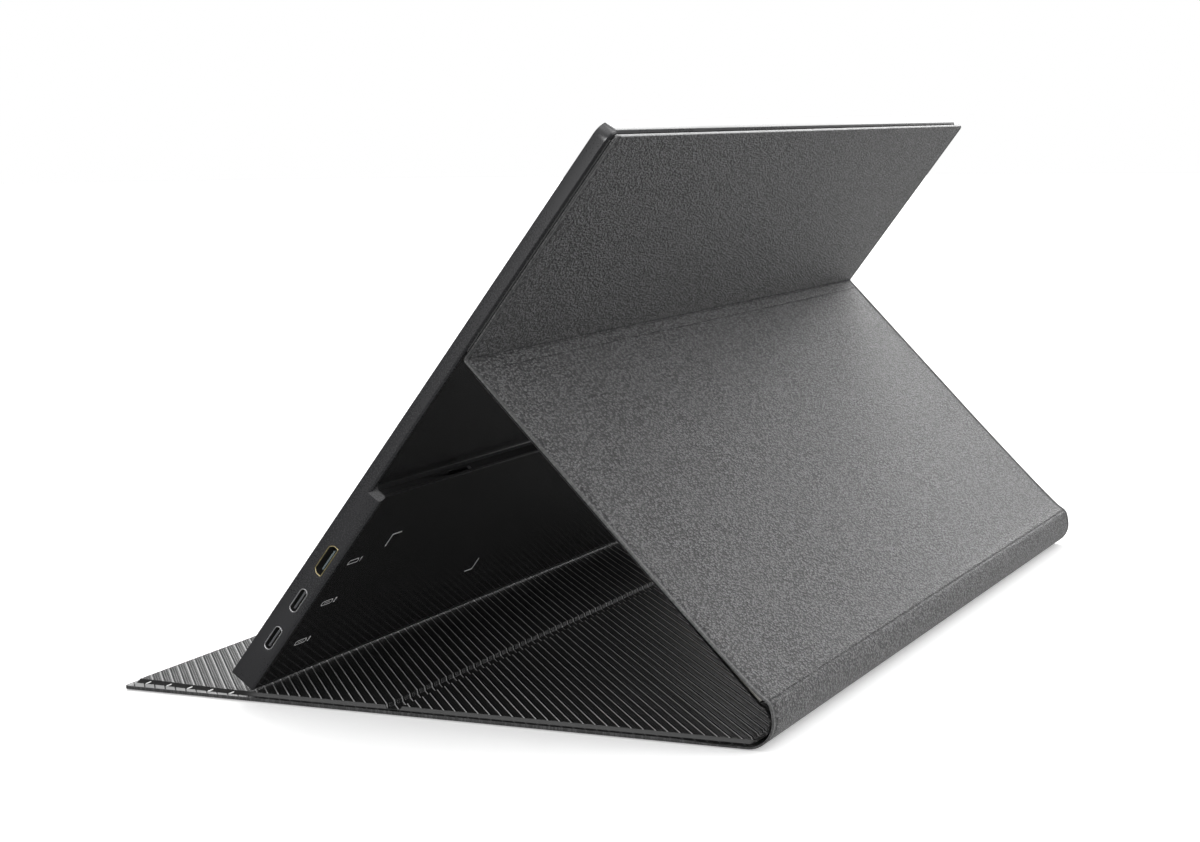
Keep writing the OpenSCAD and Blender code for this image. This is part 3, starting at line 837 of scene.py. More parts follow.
st_v, st_f = [], []
for side_ in (1, -1):
    for k_ in range(5):
        y_ = -98.6 + 7.4 * k_ + (0.0 if side_ > 0 else 2.1)
        axis = []
        for q_ in np.linspace(-1, 1, 9):
            o_ = on_step(side_, 2.02 + 0.30 * q_, y_ + 0.80 * q_)
            axis.append(o_ + np.array([side_ * 0.10, 0, 0.10]) * (1.0 - 0.7 * q_ * q_))
        axis = np.array(axis)
        tan = np.gradient(axis, axis=0)
        tan /= np.linalg.norm(tan, axis=1)[:, None]
        up_ = np.array([side_ * 0.8, 0, 0.6])
        rad = 0.19 * np.sqrt(np.clip(1 - (np.linspace(-1, 1, 9) * 0.97) ** 6, 0.02, 1))
        base_ = len(st_v)
        for a_, t_, r_ in zip(axis, tan, rad):
            n1 = np.cross(t_, up_)
            n1 /= np.linalg.norm(n1)
            n2 = np.cross(n1, t_)
            for j_ in range(10):
                w_ = 2 * math.pi * j_ / 10
                st_v.append(tuple((a_ + (n1 * math.cos(w_) + n2 * math.sin(w_)) * r_) * MM))
        for i_ in range(8):
            for j_ in range(10):
                a_, b_ = base_ + i_ * 10 + j_, base_ + i_ * 10 + (j_ + 1) % 10
                st_f.append((a_, b_, b_ + 10, a_ + 10))
        st_f.append(tuple(base_ + j_ for j_ in range(10))[::-1])
        st_f.append(tuple(base_ + 80 + j_ for j_ in range(10)))
stitches = make("flap_stitches", st_v, st_f, thread(), sharp=50)
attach(stitches, "front_flap")

# ---------------------------------------------------------------- materials of the monitor
def speckled(name, color, rough, grain=1.6, depth=0.012, tint=0.12, smudge=0.06, metal=0.0, spec=0.5, **more):
    """Moulded or coated surface: fine tooth, faint cloudiness, and a roughness that wanders."""
    m = Mat(name, rough=rough, spec=spec, metal=metal, **more)
    p = m.obj(1000)
    fine = m.noise(p, grain, 4, 0.65)
    tooth = m.voronoi(p, grain * 1.7, "F1")
    broad = m.noise(p, 0.03, 3, 0.55)
    h = m.math("MULTIPLY_ADD", tooth, 0.5, m.math("MULTIPLY", fine, 0.7))
    lo = tuple(c * (1 - tint) for c in color)
    hi = tuple(min(1, c * (1 + tint)) for c in color)
    col = m.mix(m.ramp(fine, 0.3, 0.7), lo, hi)
    col = m.mix(m.ramp(broad, 0.4, 0.75, 0.0, 0.35), col, tuple(min(1, c * 1.12 + 0.001) for c in color))
    r = m.math("ADD", m.math("MULTIPLY_ADD", m.ramp(broad, 0.35, 0.75), smudge, rough), m.math("MULTIPLY_ADD", fine, 0.06, -0.03))
    return m.out(col, r, m.bump(h, depth * MM, 1.0))


def brushed(name, color, rough, along=0, depth=0.006, streak=0.18):
    """Rolled or drawn metal with fine lines along one axis of the row frame."""
    m = Mat(name, rough=rough, metal=1.0)
    p = m.obj(1000)
    st = [9.0, 9.0, 9.0]
    st[along] = 0.25
    v = m.node("ShaderNodeVectorMath", operation="MULTIPLY")
    m.link(p, v.inputs[0])
    v.inputs[1].default_value = st
    lines = m.noise(v.outputs[0], 1.0, 4, 0.6)
    spots = m.noise(p, 0.4, 3, 0.5)
    col = m.mix(m.ramp(lines, 0.25, 0.75), tuple(c * (1 - streak) for c in color), color)
    col = m.mix(m.ramp(spots, 0.5, 0.75, 0, 0.25), col, tuple(c * 0.8 for c in color))
    r = m.math("MULTIPLY_ADD", lines, 0.12, rough - 0.04)
    return m.out(col, r, m.bump(lines, depth * MM, 1.0))


def circuit():
    """Solder mask over copper lines, with pads."""
    m = Mat("circuit_mask", rough=0.32, spec=0.5, coat=0.3, coat_rough=0.15)
    p = m.obj(1000)
    sep = m.node("ShaderNodeSeparateXYZ")
    m.link(p, sep.inputs[0])
    cell = m.voronoi(p, 0.35, "DISTANCE_TO_EDGE", 0.6)
    line = m.ramp(cell, 0.05, 0.09, 1.0, 0.0)
    w = m.node("ShaderNodeTexWave", bands_direction="X", wave_profile="SAW")
    m.link(p, w.inputs["Vector"])
    w.inputs["Scale"].default_value = 0.4
    w.inputs["Distortion"].default_value = 1.2
    track = m.ramp(w.outputs["Fac"], 0.45, 0.55)
    n = m.noise(p, 2.5, 3)
    col = m.mix(m.math("MULTIPLY", track, 0.6), (0.008, 0.075, 0.03), (0.02, 0.15, 0.06))
    col = m.mix(line, col, (0.03, 0.2, 0.09))
    h = m.math("ADD", m.math("MULTIPLY", track, 0.5), m.math("ADD", line, m.math("MULTIPLY", n, 0.2)))
    return m.out(col, m.math("MULTIPLY_ADD", n, 0.15, 0.25), m.bump(h, 0.02 * MM, 1.0))


def fibre_board():
    m = Mat("fibre_board", rough=0.85, spec=0.3)
    p = m.obj(1000)
    v = m.node("ShaderNodeVectorMath", operation="MULTIPLY")
    m.link(p, v.inputs[0])
    v.inputs[1].default_value = (0.5, 2.0, 2.0)
    fib = m.noise(v.outputs[0], 1.2, 5, 0.7, 1.5)
    spot = m.voronoi(p, 0.7, "F1")
    col = m.mix(m.ramp(fib, 0.3, 0.7), (0.22, 0.215, 0.195), (0.36, 0.35, 0.325))
    col = m.mix(m.ramp(spot, 0.0, 0.12, 0.6, 0.0), col, (0.12, 0.11, 0.1))
    return m.out(col, m.math("MULTIPLY_ADD", fib, 0.15, 0.78), m.bump(fib, 0.08 * MM, 1.0))


def film(name, color, trans=0.0, rough=0.3):
    """Thin optical film or clear moulding, with a field of tiny dots."""
    m = Mat(name, rough=rough, trans=trans, ior=1.49)
    p = m.obj(1000)
    dots = m.voronoi(p, 1.1, "F1", 0.15)
    n = m.noise(p, 0.08, 2)
    col = m.mix(m.ramp(dots, 0.12, 0.2, 0.5, 0.0), color, tuple(min(1, c * 1.12) for c in color))
    return m.out(col, m.math("MULTIPLY_ADD", n, 0.1, rough), m.bump(dots, 0.01 * MM, 0.6))


def screen_glass():
    """Anti-glare screen, switched off: a dark surface with a fine sparkle grain."""
    m = Mat("screen_off", rough=0.3, spec=0.5, coat=0.25, coat_rough=0.22)
    p = m.obj(1000)
    g = m.noise(p, 9.0, 3, 0.7)
    v = m.voronoi(p, 6.0, "F1")
    b = m.noise(p, 0.012, 2, 0.5)
    col = m.mix(m.ramp(g, 0.35, 0.65), (0.012, 0.013, 0.015), (0.022, 0.023, 0.026))
    col = m.mix(m.ramp(b, 0.4, 0.7, 0.0, 0.4), col, (0.02, 0.021, 0.026))
    h = m.math("ADD", g, m.math("MULTIPLY", v, 0.5))
    return m.out(col, m.math("MULTIPLY_ADD", g, 0.12, 0.27), m.bump(h, 0.006 * MM, 1.0))


def ribbon():
    """Polyimide film over parallel copper lines."""
    m = Mat("ribbon_film", rough=0.28, spec=0.5, coat=0.4, coat_rough=0.12)
    p = m.obj(1000)
    w = m.node("ShaderNodeTexWave", bands_direction="X", wave_profile="SIN")
    m.link(p, w.inputs["Vector"])
    w.inputs["Scale"].default_value = 0.55
    n = m.noise(p, 0.8, 3)
    col = m.mix(m.ramp(w.outputs["Fac"], 0.4, 0.6), (0.30, 0.12, 0.02), (0.62, 0.30, 0.07))
    return m.out(col, m.math("MULTIPLY_ADD", n, 0.1, 0.24), m.bump(w.outputs["Fac"], 0.03 * MM, 1.0))


FRAME_PAINT = speckled("frame_coat", (0.038, 0.038, 0.040), 0.27, grain=2.6, depth=0.004, tint=0.10, smudge=0.04, spec=0.6, coat=0.35, coat_rough=0.12)
COVER_BLACK = speckled("cover_black", (0.042, 0.042, 0.043), 0.20, grain=2.6, depth=0.0012, tint=0.10, smudge=0.02, spec=0.5)
BEZEL = speckled("bezel_black", (0.014, 0.014, 0.015), 0.46, grain=3.0, depth=0.014, tint=0.15)
# the print also glows a little through its emission: painted light on the rear marks
PRINT_WITH_PAINTED_GLOW = speckled("print_grey", (0.85, 0.85, 0.85), 0.55, grain=5.0, depth=0.003, tint=0.10, emit=0.16, emit_color=(0.85, 0.85, 0.85, 1))
TONGUE = speckled("tongue_black", (0.09, 0.092, 0.098), 0.38, grain=4.0, depth=0.006)
TONGUE_WIDE = speckled("tongue_slate", (0.13, 0.16, 0.17), 0.4, grain=4.0, depth=0.006)
# dark coat for the socket shells' faces behind the lip: painted shade inside the sockets
SHELL_PAINTED_SHADE = speckled("shell_inside", (0.03, 0.03, 0.03), 0.5, grain=3.0, depth=0.006)
GOLD = brushed("contact_gold", (0.86, 0.66, 0.33), 0.24, along=0)
WARM = brushed("shell_warm", (0.90, 0.78, 0.46), 0.5, along=0)
SILVER = brushed("shell_silver", (0.95, 0.95, 0.96), 0.5, along=0)
JACK = speckled("jack_black", (0.03, 0.03, 0.03), 0.4, grain=3.0, depth=0.01)
LAMP = film("lamp_clear", (0.86, 0.91, 0.95), trans=0.75, rough=0.18)
SPEAKER = speckled("speaker_black", (0.03, 0.03, 0.032), 0.5, grain=2.0, depth=0.02)
BUTTON = speckled("button_coat", (0.055, 0.055, 0.057), 0.38, grain=3.0, depth=0.007)
TRAY = brushed("tray_sheet", (0.72, 0.72, 0.74), 0.38, along=0)
SHIELD = brushed("shield_tin", (0.64, 0.64, 0.66), 0.34, along=1)
SCREW = brushed("screw_plate", (0.55, 0.55, 0.57), 0.28, along=2)
PLATE = brushed("plate_steel", (0.5, 0.5, 0.52), 0.42, along=1)
MAGNET = brushed("magnet_nickel", (0.62, 0.62, 0.63), 0.16, along=0, depth=0.002, streak=0.06)
CIRCUIT, BOARD, SCREEN, RIBBON = circuit(), fibre_board(), screen_glass(), ribbon()
WHITE_FILM = film("film_white", (0.82, 0.82, 0.8), rough=0.5)
GUIDE = film("guide_clear", (0.88, 0.93, 0.95), trans=0.8, rough=0.12)

SLOTS = {
    "frame_metal": FRAME_PAINT, "cover_black": COVER_BLACK, "bezel_black": BEZEL, "screen": SCREEN, "optic_white": WHITE_FILM,
    "light_guide": GUIDE, "tray_metal": TRAY, "circuit": CIRCUIT, "shield_metal": SHIELD, "screw_steel": SCREW, "socket_warm": WARM,
    "socket_silver": SILVER, "tongue": TONGUE, "jack": JACK, "lamp": LAMP, "speaker": SPEAKER, "ribbon": RIBBON,
    "steel_plate": PLATE, "button": BUTTON, "board": BOARD, "magnet": MAGNET, "skin": SKIN, "lining": LINING,
}
NODE_SLOT = {
    "display_panel": "screen", "optical_sheets": "optic_white", "light_guide": "light_guide", "backlight_tray": "tray_metal",
    "led_strip": "lamp", "control_board": "circuit", "board_shield": "shield_metal", "board_screws": "screw_steel",
    "side_board": "circuit", "tact_switches": "tongue", "audio_jack": "jack", "status_light": "lamp", "left_speaker": "speaker",
    "right_speaker": "speaker", "panel_ribbon": "ribbon", "link_ribbon": "ribbon", "holding_plates": "steel_plate",
    "power_button": "button", "menu_rocker": "button", "top_board": "board", "back_board": "board", "base_board": "board",
    "flap_board": "board", "top_magnets": "magnet", "closing_magnets": "magnet",
}
for node_name, slot_name in NODE_SLOT.items():
    ob = NODES[node_name]
    ob.data.materials.clear()
    ob.data.materials.append(SLOTS[slot_name])
for node_name, w_mm in (("power_button", 0.35), ("menu_rocker", 0.35), ("audio_jack", 0.2), ("status_light", 0.15), ("board_shield", 0.2),
                        ("board_screws", 0.12), ("left_speaker", 0.4), ("right_speaker", 0.4), ("display_panel", 0.15)):
    bevel(NODES[node_name], w_mm, 3, 35)


# ---------------------------------------------------------------- side frame
def outline(inset, per_corner=8):
    """Outline of the monitor seen from the front, inset from its edge, starting low on the +X side. Points are (x, s)."""
    hw, h = MON_W / 2, MON_H
    pts = []
    for sx, top, a in ((1, False, -90), (1, True, 0), (-1, True, 90), (-1, False, 180)):
        ri = max(0.3, (4.0 if top else 1.0) - inset)
        cy = h - inset - ri if top else inset + ri
        pts.append(arc(sx * (hw - inset - ri), cy, ri, a, a + 90, per_corner))
    step = 74.9 + inset
    st = (hw - inset, step)
    left = (-hw + inset, step)
    # the low and the high station of the step share a place
    return [(p, "low") for p in pts[0]] + [(st, "low"), (st, "high")] + [(p, "high") for p in pts[1]] + [(p, "high") for p in pts[2]] \
        + [(left, "high"), (left, "low")] + [(p, "low") for p in pts[3]]


def frame_ring():
    prof = [(0, 8.6), (0, None, 5.1), (0, "r", 0.66), (0.03, "r", 0.56), (0.10, "r", 0.46), (0.46, "r", 0.10), (0.56, "r", 0.03), (0.66, "r", 0.0), (WALL - 0.12, "r", 0.0),
            (WALL, "r", 0.12), (WALL, None, 4.42), (WALL, 8.68), (WALL - 0.12, 8.8), (0.24, 8.8), (0.11, 8.77), (0.03, 8.7)]
    rings = []
    for pr in prof:
        ring = []
        for (x, s), side in outline(pr[0]):
            wr = 0.0 if side == "low" else THIN - 0.09
            if len(pr) == 2:
                w = pr[1]
            elif pr[1] == "r":
                w = wr + pr[2]
            else:
                w = pr[2]
            ring.append(tuple(mon(x, s, w)))
        rings.append(ring)
    n = len(rings[0])
    verts = [p for r in rings for p in r]
    faces = []
    for k in range(len(rings)):
        a, b = k * n, ((k + 1) % len(rings)) * n
        for i in range(n):
            j = (i + 1) % n
            faces.append((a + i, a + j, b + j, b + i))
    return np.array(verts), faces


v, f = frame_ring()
side_frame = make("side_frame_coated", v, f, FRAME_PAINT, sharp=28, merge=2e-6)


def x_cutter(name, pts, x0, x1):
    """Closed prism along X of an outline given as (s, w)."""
    vv, ff = prism(pts, lambda p: mon(x0, p[0], p[1]), lambda p: mon(x1, p[0], p[1]))
    return make(name, vv, ff)


def flared(name, outline_at, x_face, x_in, side):
    """Cutter through the wall with a small countersink at the outer face; outline_at(g) grows by g."""
    st = [(x_face + side * 0.6, 0.16), (x_face, 0.16), (x_face - side * 0.16, 0.0), (x_in, 0.0)]
    rings = [[tuple(mon(x, p[0], p[1])) for p in outline_at(g)] for x, g in st]
    vv, ff = loft(rings)
    return make(name, vv, ff)


def video_out(g, n=5):
    """Outline of the small video socket grown by g, with slightly rounded corners, as (s, w)."""
    base = [(-5.6 - g, -0.3 - g * 0.4), (-5.6 - g, 1.6 + g), (5.6 + g, 1.6 + g), (5.6 + g, -0.3 - g * 0.4), (4.4 + g * 0.6, -1.6 - g), (-4.4 - g * 0.6, -1.6 - g)]
    base = [(49.4 + a * 0.94, 3.9 - b * 0.94) for a, b in base][::-1]
    out = []
    for i in range(6):
        p, q, r = np.array(base[i - 1]), np.array(base[i]), np.array(base[(i + 1) % 6])
        u, v2 = (p - q) / np.linalg.norm(p - q), (r - q) / np.linalg.norm(r - q)
        d = max(0.25, 0.45 + g * 0.5)
        a, b = q + u * d, q + v2 * d
        for k in range(n + 1):
            t = k / n
            out.append(tuple((1 - t) ** 2 * a + 2 * t * (1 - t) * q + t * t * b))
    return out


def data_out(s0):
    return lambda g: [(s0 + p[0], 3.9 + p[1]) for p in stadium(8.40 + 2 * g, 2.70 + 2 * g, 12)]


holes = [flared("c1", lambda g: video_out(0.15 + g), 178.0, 175.0, 1)]
for s0 in (33.4, 18.4):
    holes.append(flared("c2", lambda g, s0=s0: data_out(s0)(0.15 + g), 178.0, 175.0, 1))
rnd = lambda s0, w0, r, n=28: [(s0 + r * math.cos(2 * math.pi * i / n), w0 + r * math.sin(2 * math.pi * i / n)) for i in range(n)]
holes.append(flared("c3", lambda g: rnd(18.4, 3.6, 2.75 + g), -178.0, -175.0, -1))
holes.append(flared("c4", lambda g: [(50 + p[0], 3.9 + p[1]) for p in stadium(9.6 + 2 * g, 3.0 + 2 * g, 10)], -178.0, -175.0, -1))
holes.append(flared("c5", lambda g: [(34 + p[0], 3.9 + p[1]) for p in stadium(16.6 + 2 * g, 3.0 + 2 * g, 10)], -178.0, -175.0, -1))
holes.append(flared("c6", lambda g: rnd(59.0, 3.9, 0.85 + g, 20), -178.0, -175.0, -1))
cut(side_frame, holes)
side_frame.data.shade_smooth()
side_frame.data.set_sharp_from_angle(angle=math.radians(28))
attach(side_frame, "monitor")
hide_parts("side_frame")

# ---------------------------------------------------------------- rear cover
prof = [(1.9, 0.12), (2.02, 0.0)] + [(75.7, 0.0)] + arc(LEDGE - 0.9, 0.9, 0.9, -90, 0, 7)[1:]
prof += arc(LEDGE + 1.5, THIN - 1.5, 1.5, 180, 90, 8)
prof += [(203.48, THIN), (203.6, THIN + 0.12), (203.6, THIN + 0.8), (LEDGE - 0.9, THIN + 0.8), (LEDGE - 0.9, 0.9), (1.9, 0.9)]
ends = [(IN_X - 0.22, 0.0), (IN_X - 0.1, 1.0)]
rc_rings = []
centre = None


def cover_ring(x, k):
    return [tuple(mon(x, s, w)) for s, w in prof]


xs_c = [-(IN_X - 0.1), -150, -117.6, -60, 0, 60, 117.6, 150, IN_X - 0.1]
v, f = loft([cover_ring(x, 0) for x in xs_c])
rear = make("rear_cover_shell", v, f, COVER_BLACK, sharp=30)
slots = []
for sgn in (1, -1):
    pts = [(sgn * 125.1 + p[0], 1.7 + p[1]) for p in stadium(15.0, 1.5, 8)]
    vv, ff = prism(pts, lambda p: mon(p[0], LEDGE - 2.5, p[1]), lambda p: mon(p[0], LEDGE + 1.0, p[1]))
    slots.append(make("slotc", vv, ff))
cut(rear, slots)
rear.data.shade_smooth()
rear.data.set_sharp_from_angle(angle=math.radians(30))
bevel(rear, 0.12, 2, 50)

# printed marks: corner ticks, and a small outline of each socket with its number
marks_v, marks_f = [], []


def stroke(p, q, width=0.30, high=0.02):
    """A thin printed line on the rear face between two points given as (distance from the near edge, s)."""
    p, q = np.array(p, float), np.array(q, float)
    d = (q - p) / max(np.linalg.norm(q - p), 1e-9)
    nrm = np.array([-d[1], d[0]]) * width / 2
    p, q = p - d * width / 2, q + d * width / 2
    base = len(marks_v)
    for w in (0.004, -high):
        for c4 in (p - nrm, q - nrm, q + nrm, p + nrm):
            marks_v.append(tuple(mon(MON_W / 2 - c4[0], c4[1], w)))
    for fc4 in ((0, 1, 2, 3), (7, 6, 5, 4), (0, 4, 5, 1), (1, 5, 6, 2), (2, 6, 7, 3), (3, 7, 4, 0)):
        marks_f.append(tuple(base + i for i in fc4))


def poly_stroke(pts, closed=False, width=0.28):
    seq = list(zip(pts[:-1], pts[1:])) + ([(pts[-1], pts[0])] if closed else [])
    for a, b in seq:
        stroke(a, b, width)


DIGIT = {
    "1": [[(0.15, 0.75), (0.5, 1), (0.5, 0)]],
    "2": [[(0.05, 0.78), (0.2, 0.97), (0.5, 1.0), (0.72, 0.85), (0.7, 0.62), (0.05, 0.0), (0.78, 0.0)]],
    "3": [[(0.05, 0.85), (0.25, 1.0), (0.55, 1.0), (0.72, 0.8), (0.6, 0.58), (0.32, 0.53), (0.62, 0.48), (0.76, 0.24), (0.58, 0.02), (0.25, 0.0), (0.03, 0.15)]],
}


def digit(ch, at, size=1.7):
    for line in DIGIT[ch]:
        poly_stroke([(at[0] + a * size * 0.62, at[1] + b * size) for a, b in line], width=0.30)


for c0, c1, c2 in (((28.2, 52.4), (28.1, 57), (33.7, 57)), ((119.1, 21.5), (124.6, 21.4), (124.3, 26.2))):
    stroke(c0, c1, 0.46)
    stroke(c1, c2, 0.46)
# video socket
o7 = [(7.6, 49.2), (7.6, 50.1), (8.2, 50.7), (13.0, 50.7), (13.6, 50.1), (13.6, 49.2)]
poly_stroke(o7, True)
digit("1", (14.8, 49.1))
for n_, (x7, s7) in (("2", (8.6, 32.4)), ("3", (8.8, 16.4))):
    pill = [(x7 + 3.2 + p[0], s7 + 0.85 + p[1]) for p in stadium(6.4, 1.7, 5)]
    poly_stroke(pill, True)
    stroke((x7 + 1.6, s7 + 0.85), (x7 + 4.8, s7 + 0.85), 0.2)
    digit(n_, (x7 + 7.8, s7))
marks = make("rear_marks", marks_v, marks_f, PRINT_WITH_PAINTED_GLOW, sharp=30, fix=True)
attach(marks, "monitor")
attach(rear, "monitor")
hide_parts("rear_cover")


# ---------------------------------------------------------------- sockets
def shell(name, outline_at, mat, node_name, wall_mm, x_back):
    """Drawn metal shell with a rolled lip at the side wall."""
    st = [(x_back, 0.0), (177.70, 0.0), (177.90, 0.02), (177.99, 0.08), (178.02, 0.15), (177.99, 0.22), (177.9, wall_mm - 0.02),
          (177.7, wall_mm), (x_back + 0.5, wall_mm)]
    rings = [[tuple(mon(x, p[0], p[1])) for p in outline_at(-g)] for x, g in st]
    vv, ff = loft(rings)
    o = make(name, vv, ff, mat, sharp=40)
    # faces deeper than the lip get the dark coat, painted shade inside the socket
    o.data.materials.append(SHELL_PAINTED_SHADE)
    for p in o.data.polygons:
        p.material_index = int(p.center.x < 0.17776)
    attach(o, "monitor")
    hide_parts(node_name)
    return o


shell("video_shell", lambda g: video_out(0.1 + g), WARM, "video_socket", 0.30, 169.0)
shell("upper_data_shell", lambda g: data_out(33.4)(0.1 + g), SILVER, "upper_data_socket", 0.30, 169.6)
shell("lower_data_shell", lambda g: data_out(18.4)(0.1 + g), SILVER, "lower_data_socket", 0.30, 169.6)


def block(x0, x1, s0, s1, w0, w1):
    pts = [(x, s, w) for x in (x0, x1) for s in (s0, s1) for w in (w0, w1)]
    idx = [(0, 1, 3, 2), (4, 6, 7, 5), (0, 4, 5, 1), (2, 3, 7, 6), (0, 2, 6, 4), (1, 5, 7, 3)]
    return [tuple(mon(*p)) for p in pts], idx


def blocks(name, list_of, mat, bev=0.0):
    vv, ff = [], []
    for b in list_of:
        p, q = block(*b)
        ff += [tuple(i + len(vv) for i in face) for face in q]
        vv += p
    o = make(name, vv, ff, mat, sharp=30)
    if bev:
        bevel(o, bev, 2, 40)
    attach(o, "monitor")
    return o


tw = blocks("video_tongue", [(169.4, 176.8, 45.8, 53.0, 3.2, 3.8)], TONGUE_WIDE, 0.12)
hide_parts("video_socket_tongue")
td = blocks("data_tongues", [(170.0, 177.1, s0 - 3.35, s0 + 3.35, 3.55, 4.25) for s0 in (33.4, 18.4)], TONGUE, 0.15)
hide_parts("data_socket_tongues")
pads = []
for s0 in (33.4, 18.4):
    for i in range(12):
        sc_ = s0 - 2.75 + i * 0.5
        pads.append((171.0, 176.3, sc_ - 0.13, sc_ + 0.13, 3.52, 3.56))
        pads.append((171.0, 176.3, sc_ - 0.13, sc_ + 0.13, 4.24, 4.28))
for i in range(10):
    sc_ = 49.4 - 3.15 + i * 0.7
    pads.append((170.4, 176.0, sc_ - 0.14, sc_ + 0.14, 3.17, 3.21))
    pads.append((170.4, 176.0, sc_ - 0.14, sc_ + 0.14, 3.79, 3.83))
ct = blocks("socket_contacts", pads, GOLD)

# ---------------------------------------------------------------- front bezel
bz_out = [(x, s) for (cx, cy, a) in ((IN_X - 0.1 - 2.1, 1.9 + 2.1, -90), (IN_X - 0.1 - 2.1, 203.6 - 2.1, 0), (-IN_X + 0.1 + 2.1, 203.6 - 2.1, 90), (-IN_X + 0.1 + 2.1, 1.9 + 2.1, 180))
          for (x, s) in arc(cx, cy, 2.1, a, a + 90, 7)]
bz_in = [(x, s) for (cx, cy, a) in ((172.1 - .3, 7.6 + .3, -90), (172.1 - .3, 200.7 - .3, 0), (-172.1 + .3, 200.7 - .3, 90), (-172.1 + .3, 7.6 + .3, 180))
         for (x, s) in arc(cx, cy, 0.3, a, a + 90, 7)]


def scaled(pts, g):
    """Moves an outline's points outwards by g along each axis, enough for a small step."""
    return [(x + math.copysign(g, x), s + (g if s > 100 else -g)) for x, s in pts]


st = [(bz_out, 0, 8.2), (bz_out, 0, 8.68), (bz_out, -0.12, 8.8), (bz_in, 0.35, 8.8), (bz_in, 0.1, 8.7), (bz_in, 0, 8.5), (bz_in, 0, 8.2)]
rings = [[tuple(mon(x, s, w)) for x, s in scaled(p, g)] for p, g, w in st]
n = len(rings[0])
v = np.array([p for r in rings for p in r])
f = [(k * n + i, k * n + (i + 1) % n, ((k + 1) % len(rings)) * n + (i + 1) % n, ((k + 1) % len(rings)) * n + i) for k in range(len(rings)) for i in range(n)]
bz = make("front_bezel_moulded", v, f, BEZEL, sharp=40)
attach(bz, "monitor")
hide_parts("front_bezel")

# ---------------------------------------------------------------- floor, light, world
bm = bmesh.new()
bmesh.ops.create_circle(bm, cap_ends=True, cap_tris=False, segments=96, radius=6.0)
me = bpy.data.meshes.new("floor")
bm.to_mesh(me)
bm.free()
floor = bpy.data.objects.new("floor", me)
floor.location = (0, 0, -0.0003)
bpy.context.scene.collection.objects.link(floor)
fm = Mat("floor_white", rough=0.75, spec=0.25)
fp = fm.obj(1)
fnz = fm.noise(fp, 90, 3)
fm.set(emit=0.32, emit_color=(1, 1, 1, 1))
me.materials.append(fm.out(fm.mix(fnz, (0.90, 0.90, 0.90), (0.94, 0.94, 0.94)), fm.math("MULTIPLY_ADD", fnz, 0.1, 0.7)))
floor.visible_diffuse = False
floor.visible_glossy = False
floor.visible_shadow = False

scene = bpy.context.scene
world = bpy.data.worlds.new("studio")
scene.world = world
world.use_nodes = True
wt = world.node_tree
wt.nodes.clear()


def wnode(kind, **props):
    nn = wt.nodes.new(kind)
    for k, v_ in props.items():
        setattr(nn, k, v_)
    return nn


def wmap(src, lo, hi, to_lo, to_hi):
    nn = wnode("ShaderNodeMapRange", interpolation_type="SMOOTHSTEP")
    wt.links.new(src, nn.inputs[0])
    for i, x_ in enumerate((lo, hi, to_lo, to_hi)):
        nn.inputs[i + 1].default_value = x_
    return nn.outputs[0]


def wmath(op, a_, b_):
    nn = wnode("ShaderNodeMath", operation=op)
    for i, x_ in enumerate((a_, b_)):
        if isinstance(x_, bpy.types.NodeSocket):
            wt.links.new(x_, nn.inputs[i])
        else:
            nn.inputs[i].default_value = x_
    return nn.outputs[0]


tc = wnode("ShaderNodeTexCoord")


def lobe(direction, lo, hi, level):
    """A soft bright patch of the studio around a direction."""
    d_ = Vector(direction).normalized()
    nn = wnode("ShaderNodeVectorMath", operation="DOT_PRODUCT")
    wt.links.new(tc.outputs["Generated"], nn.inputs[0])
    nn.inputs[1].default_value = d_
    return wmap(nn.outputs["Value"], lo, hi, 0.0, level)


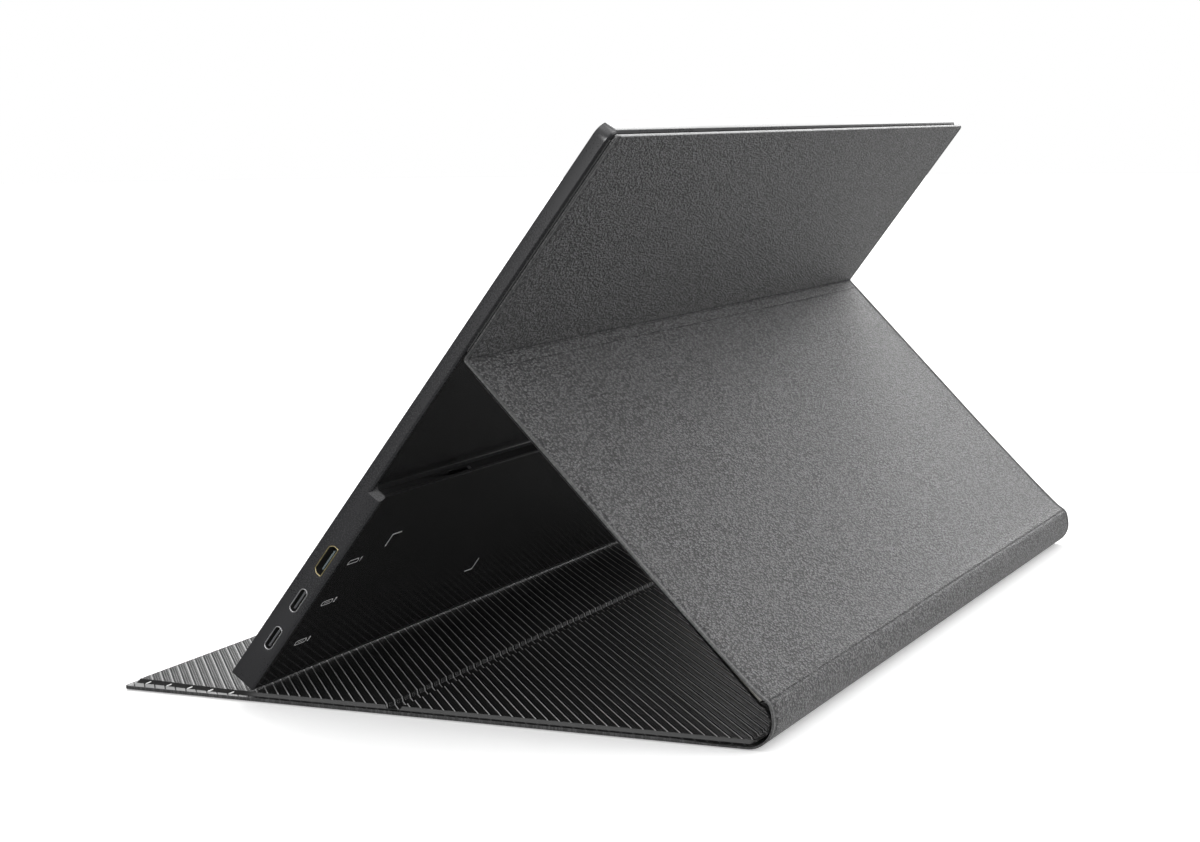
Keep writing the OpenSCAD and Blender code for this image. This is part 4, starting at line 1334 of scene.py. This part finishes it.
# soft patches of the studio: direction, edge and middle of the patch as cosines, level
STUDIO = (
    ((-0.8, -0.32, -0.5), 0.94, 0.996, 1.38),
    ((-0.85, 0.18, -0.5), 0.94, 0.996, 0.98),
    ((-0.94, 0.2, -0.28), 0.94, 0.996, 0.68),
    ((-0.83, 0.48, -0.28), 0.94, 0.996, 0.95),
    ((-0.76, -0.64, -0.07), 0.94, 0.996, 0.29),
    ((-0.99, -0.09, 0.14), 0.94, 0.996, 3.4),
    ((-0.64, -0.54, 0.54), 0.94, 0.996, 2.44),
    ((-0.78, -0.31, 0.54), 0.94, 0.996, 10.87),
    ((-0.84, -0.07, 0.54), 0.94, 0.996, 0.78),
    ((-0.49, 0.85, 0.17), 0.819, 0.988, 1.48),
    ((-0.34, -0.93, 0.17), 0.819, 0.988, 0.29),
    ((-0.43, 0.75, -0.5), 0.819, 0.988, 0.37),
    ((-0.35, 0.61, 0.71), 0.819, 0.988, 3.28),
    ((-0.24, -0.66, 0.71), 0.819, 0.988, 0.42),
    ((-0, 0, 1), 0.766, 0.985, 1.39),
    ((0.5, 0, 0.87), 0.819, 0.988, 0.71),
    ((0.41, 0.71, 0.57), 0.819, 0.988, 0.25),
    ((0.41, -0.71, 0.57), 0.819, 0.988, 0.38),
    ((-0, 0.5, -0.87), 0.766, 0.985, 0.18),
    ((0.91, -0.37, 0.21), 0.951, 0.997, 0.41),
    ((0.93, -0.37, 0), 0.951, 0.997, 0.24),
    ((0.98, 0, 0.21), 0.951, 0.997, 7.98),
    ((0.94, 0.34, 0.09), 0.951, 0.997, 9.43),
)
glow = None
for direction_, lo_, hi_, level_ in STUDIO:
    patch_ = lobe(direction_, lo_, hi_, level_)
    glow = patch_ if glow is None else wmath("ADD", glow, patch_)
bg_cam, bg_light = wnode("ShaderNodeBackground"), wnode("ShaderNodeBackground")
bg_cam.inputs[1].default_value = 1.0
bg_cam.inputs[0].default_value = (1, 1, 1, 1)
bg_light.inputs[0].default_value = (0.82, 0.82, 0.82, 1)
wt.links.new(glow, bg_light.inputs[1])
lp = wnode("ShaderNodeLightPath")
mx = wnode("ShaderNodeMixShader")
wt.links.new(lp.outputs["Is Camera Ray"], mx.inputs[0])
wt.links.new(bg_light.outputs[0], mx.inputs[1])
wt.links.new(bg_cam.outputs[0], mx.inputs[2])
wo = wnode("ShaderNodeOutputWorld")
wt.links.new(mx.outputs[0], wo.inputs[0])


scene.view_settings.view_transform = "Standard"
scene.view_settings.look = "None"
scene.view_settings.exposure = 0.0
scene.view_settings.gamma = 1.0
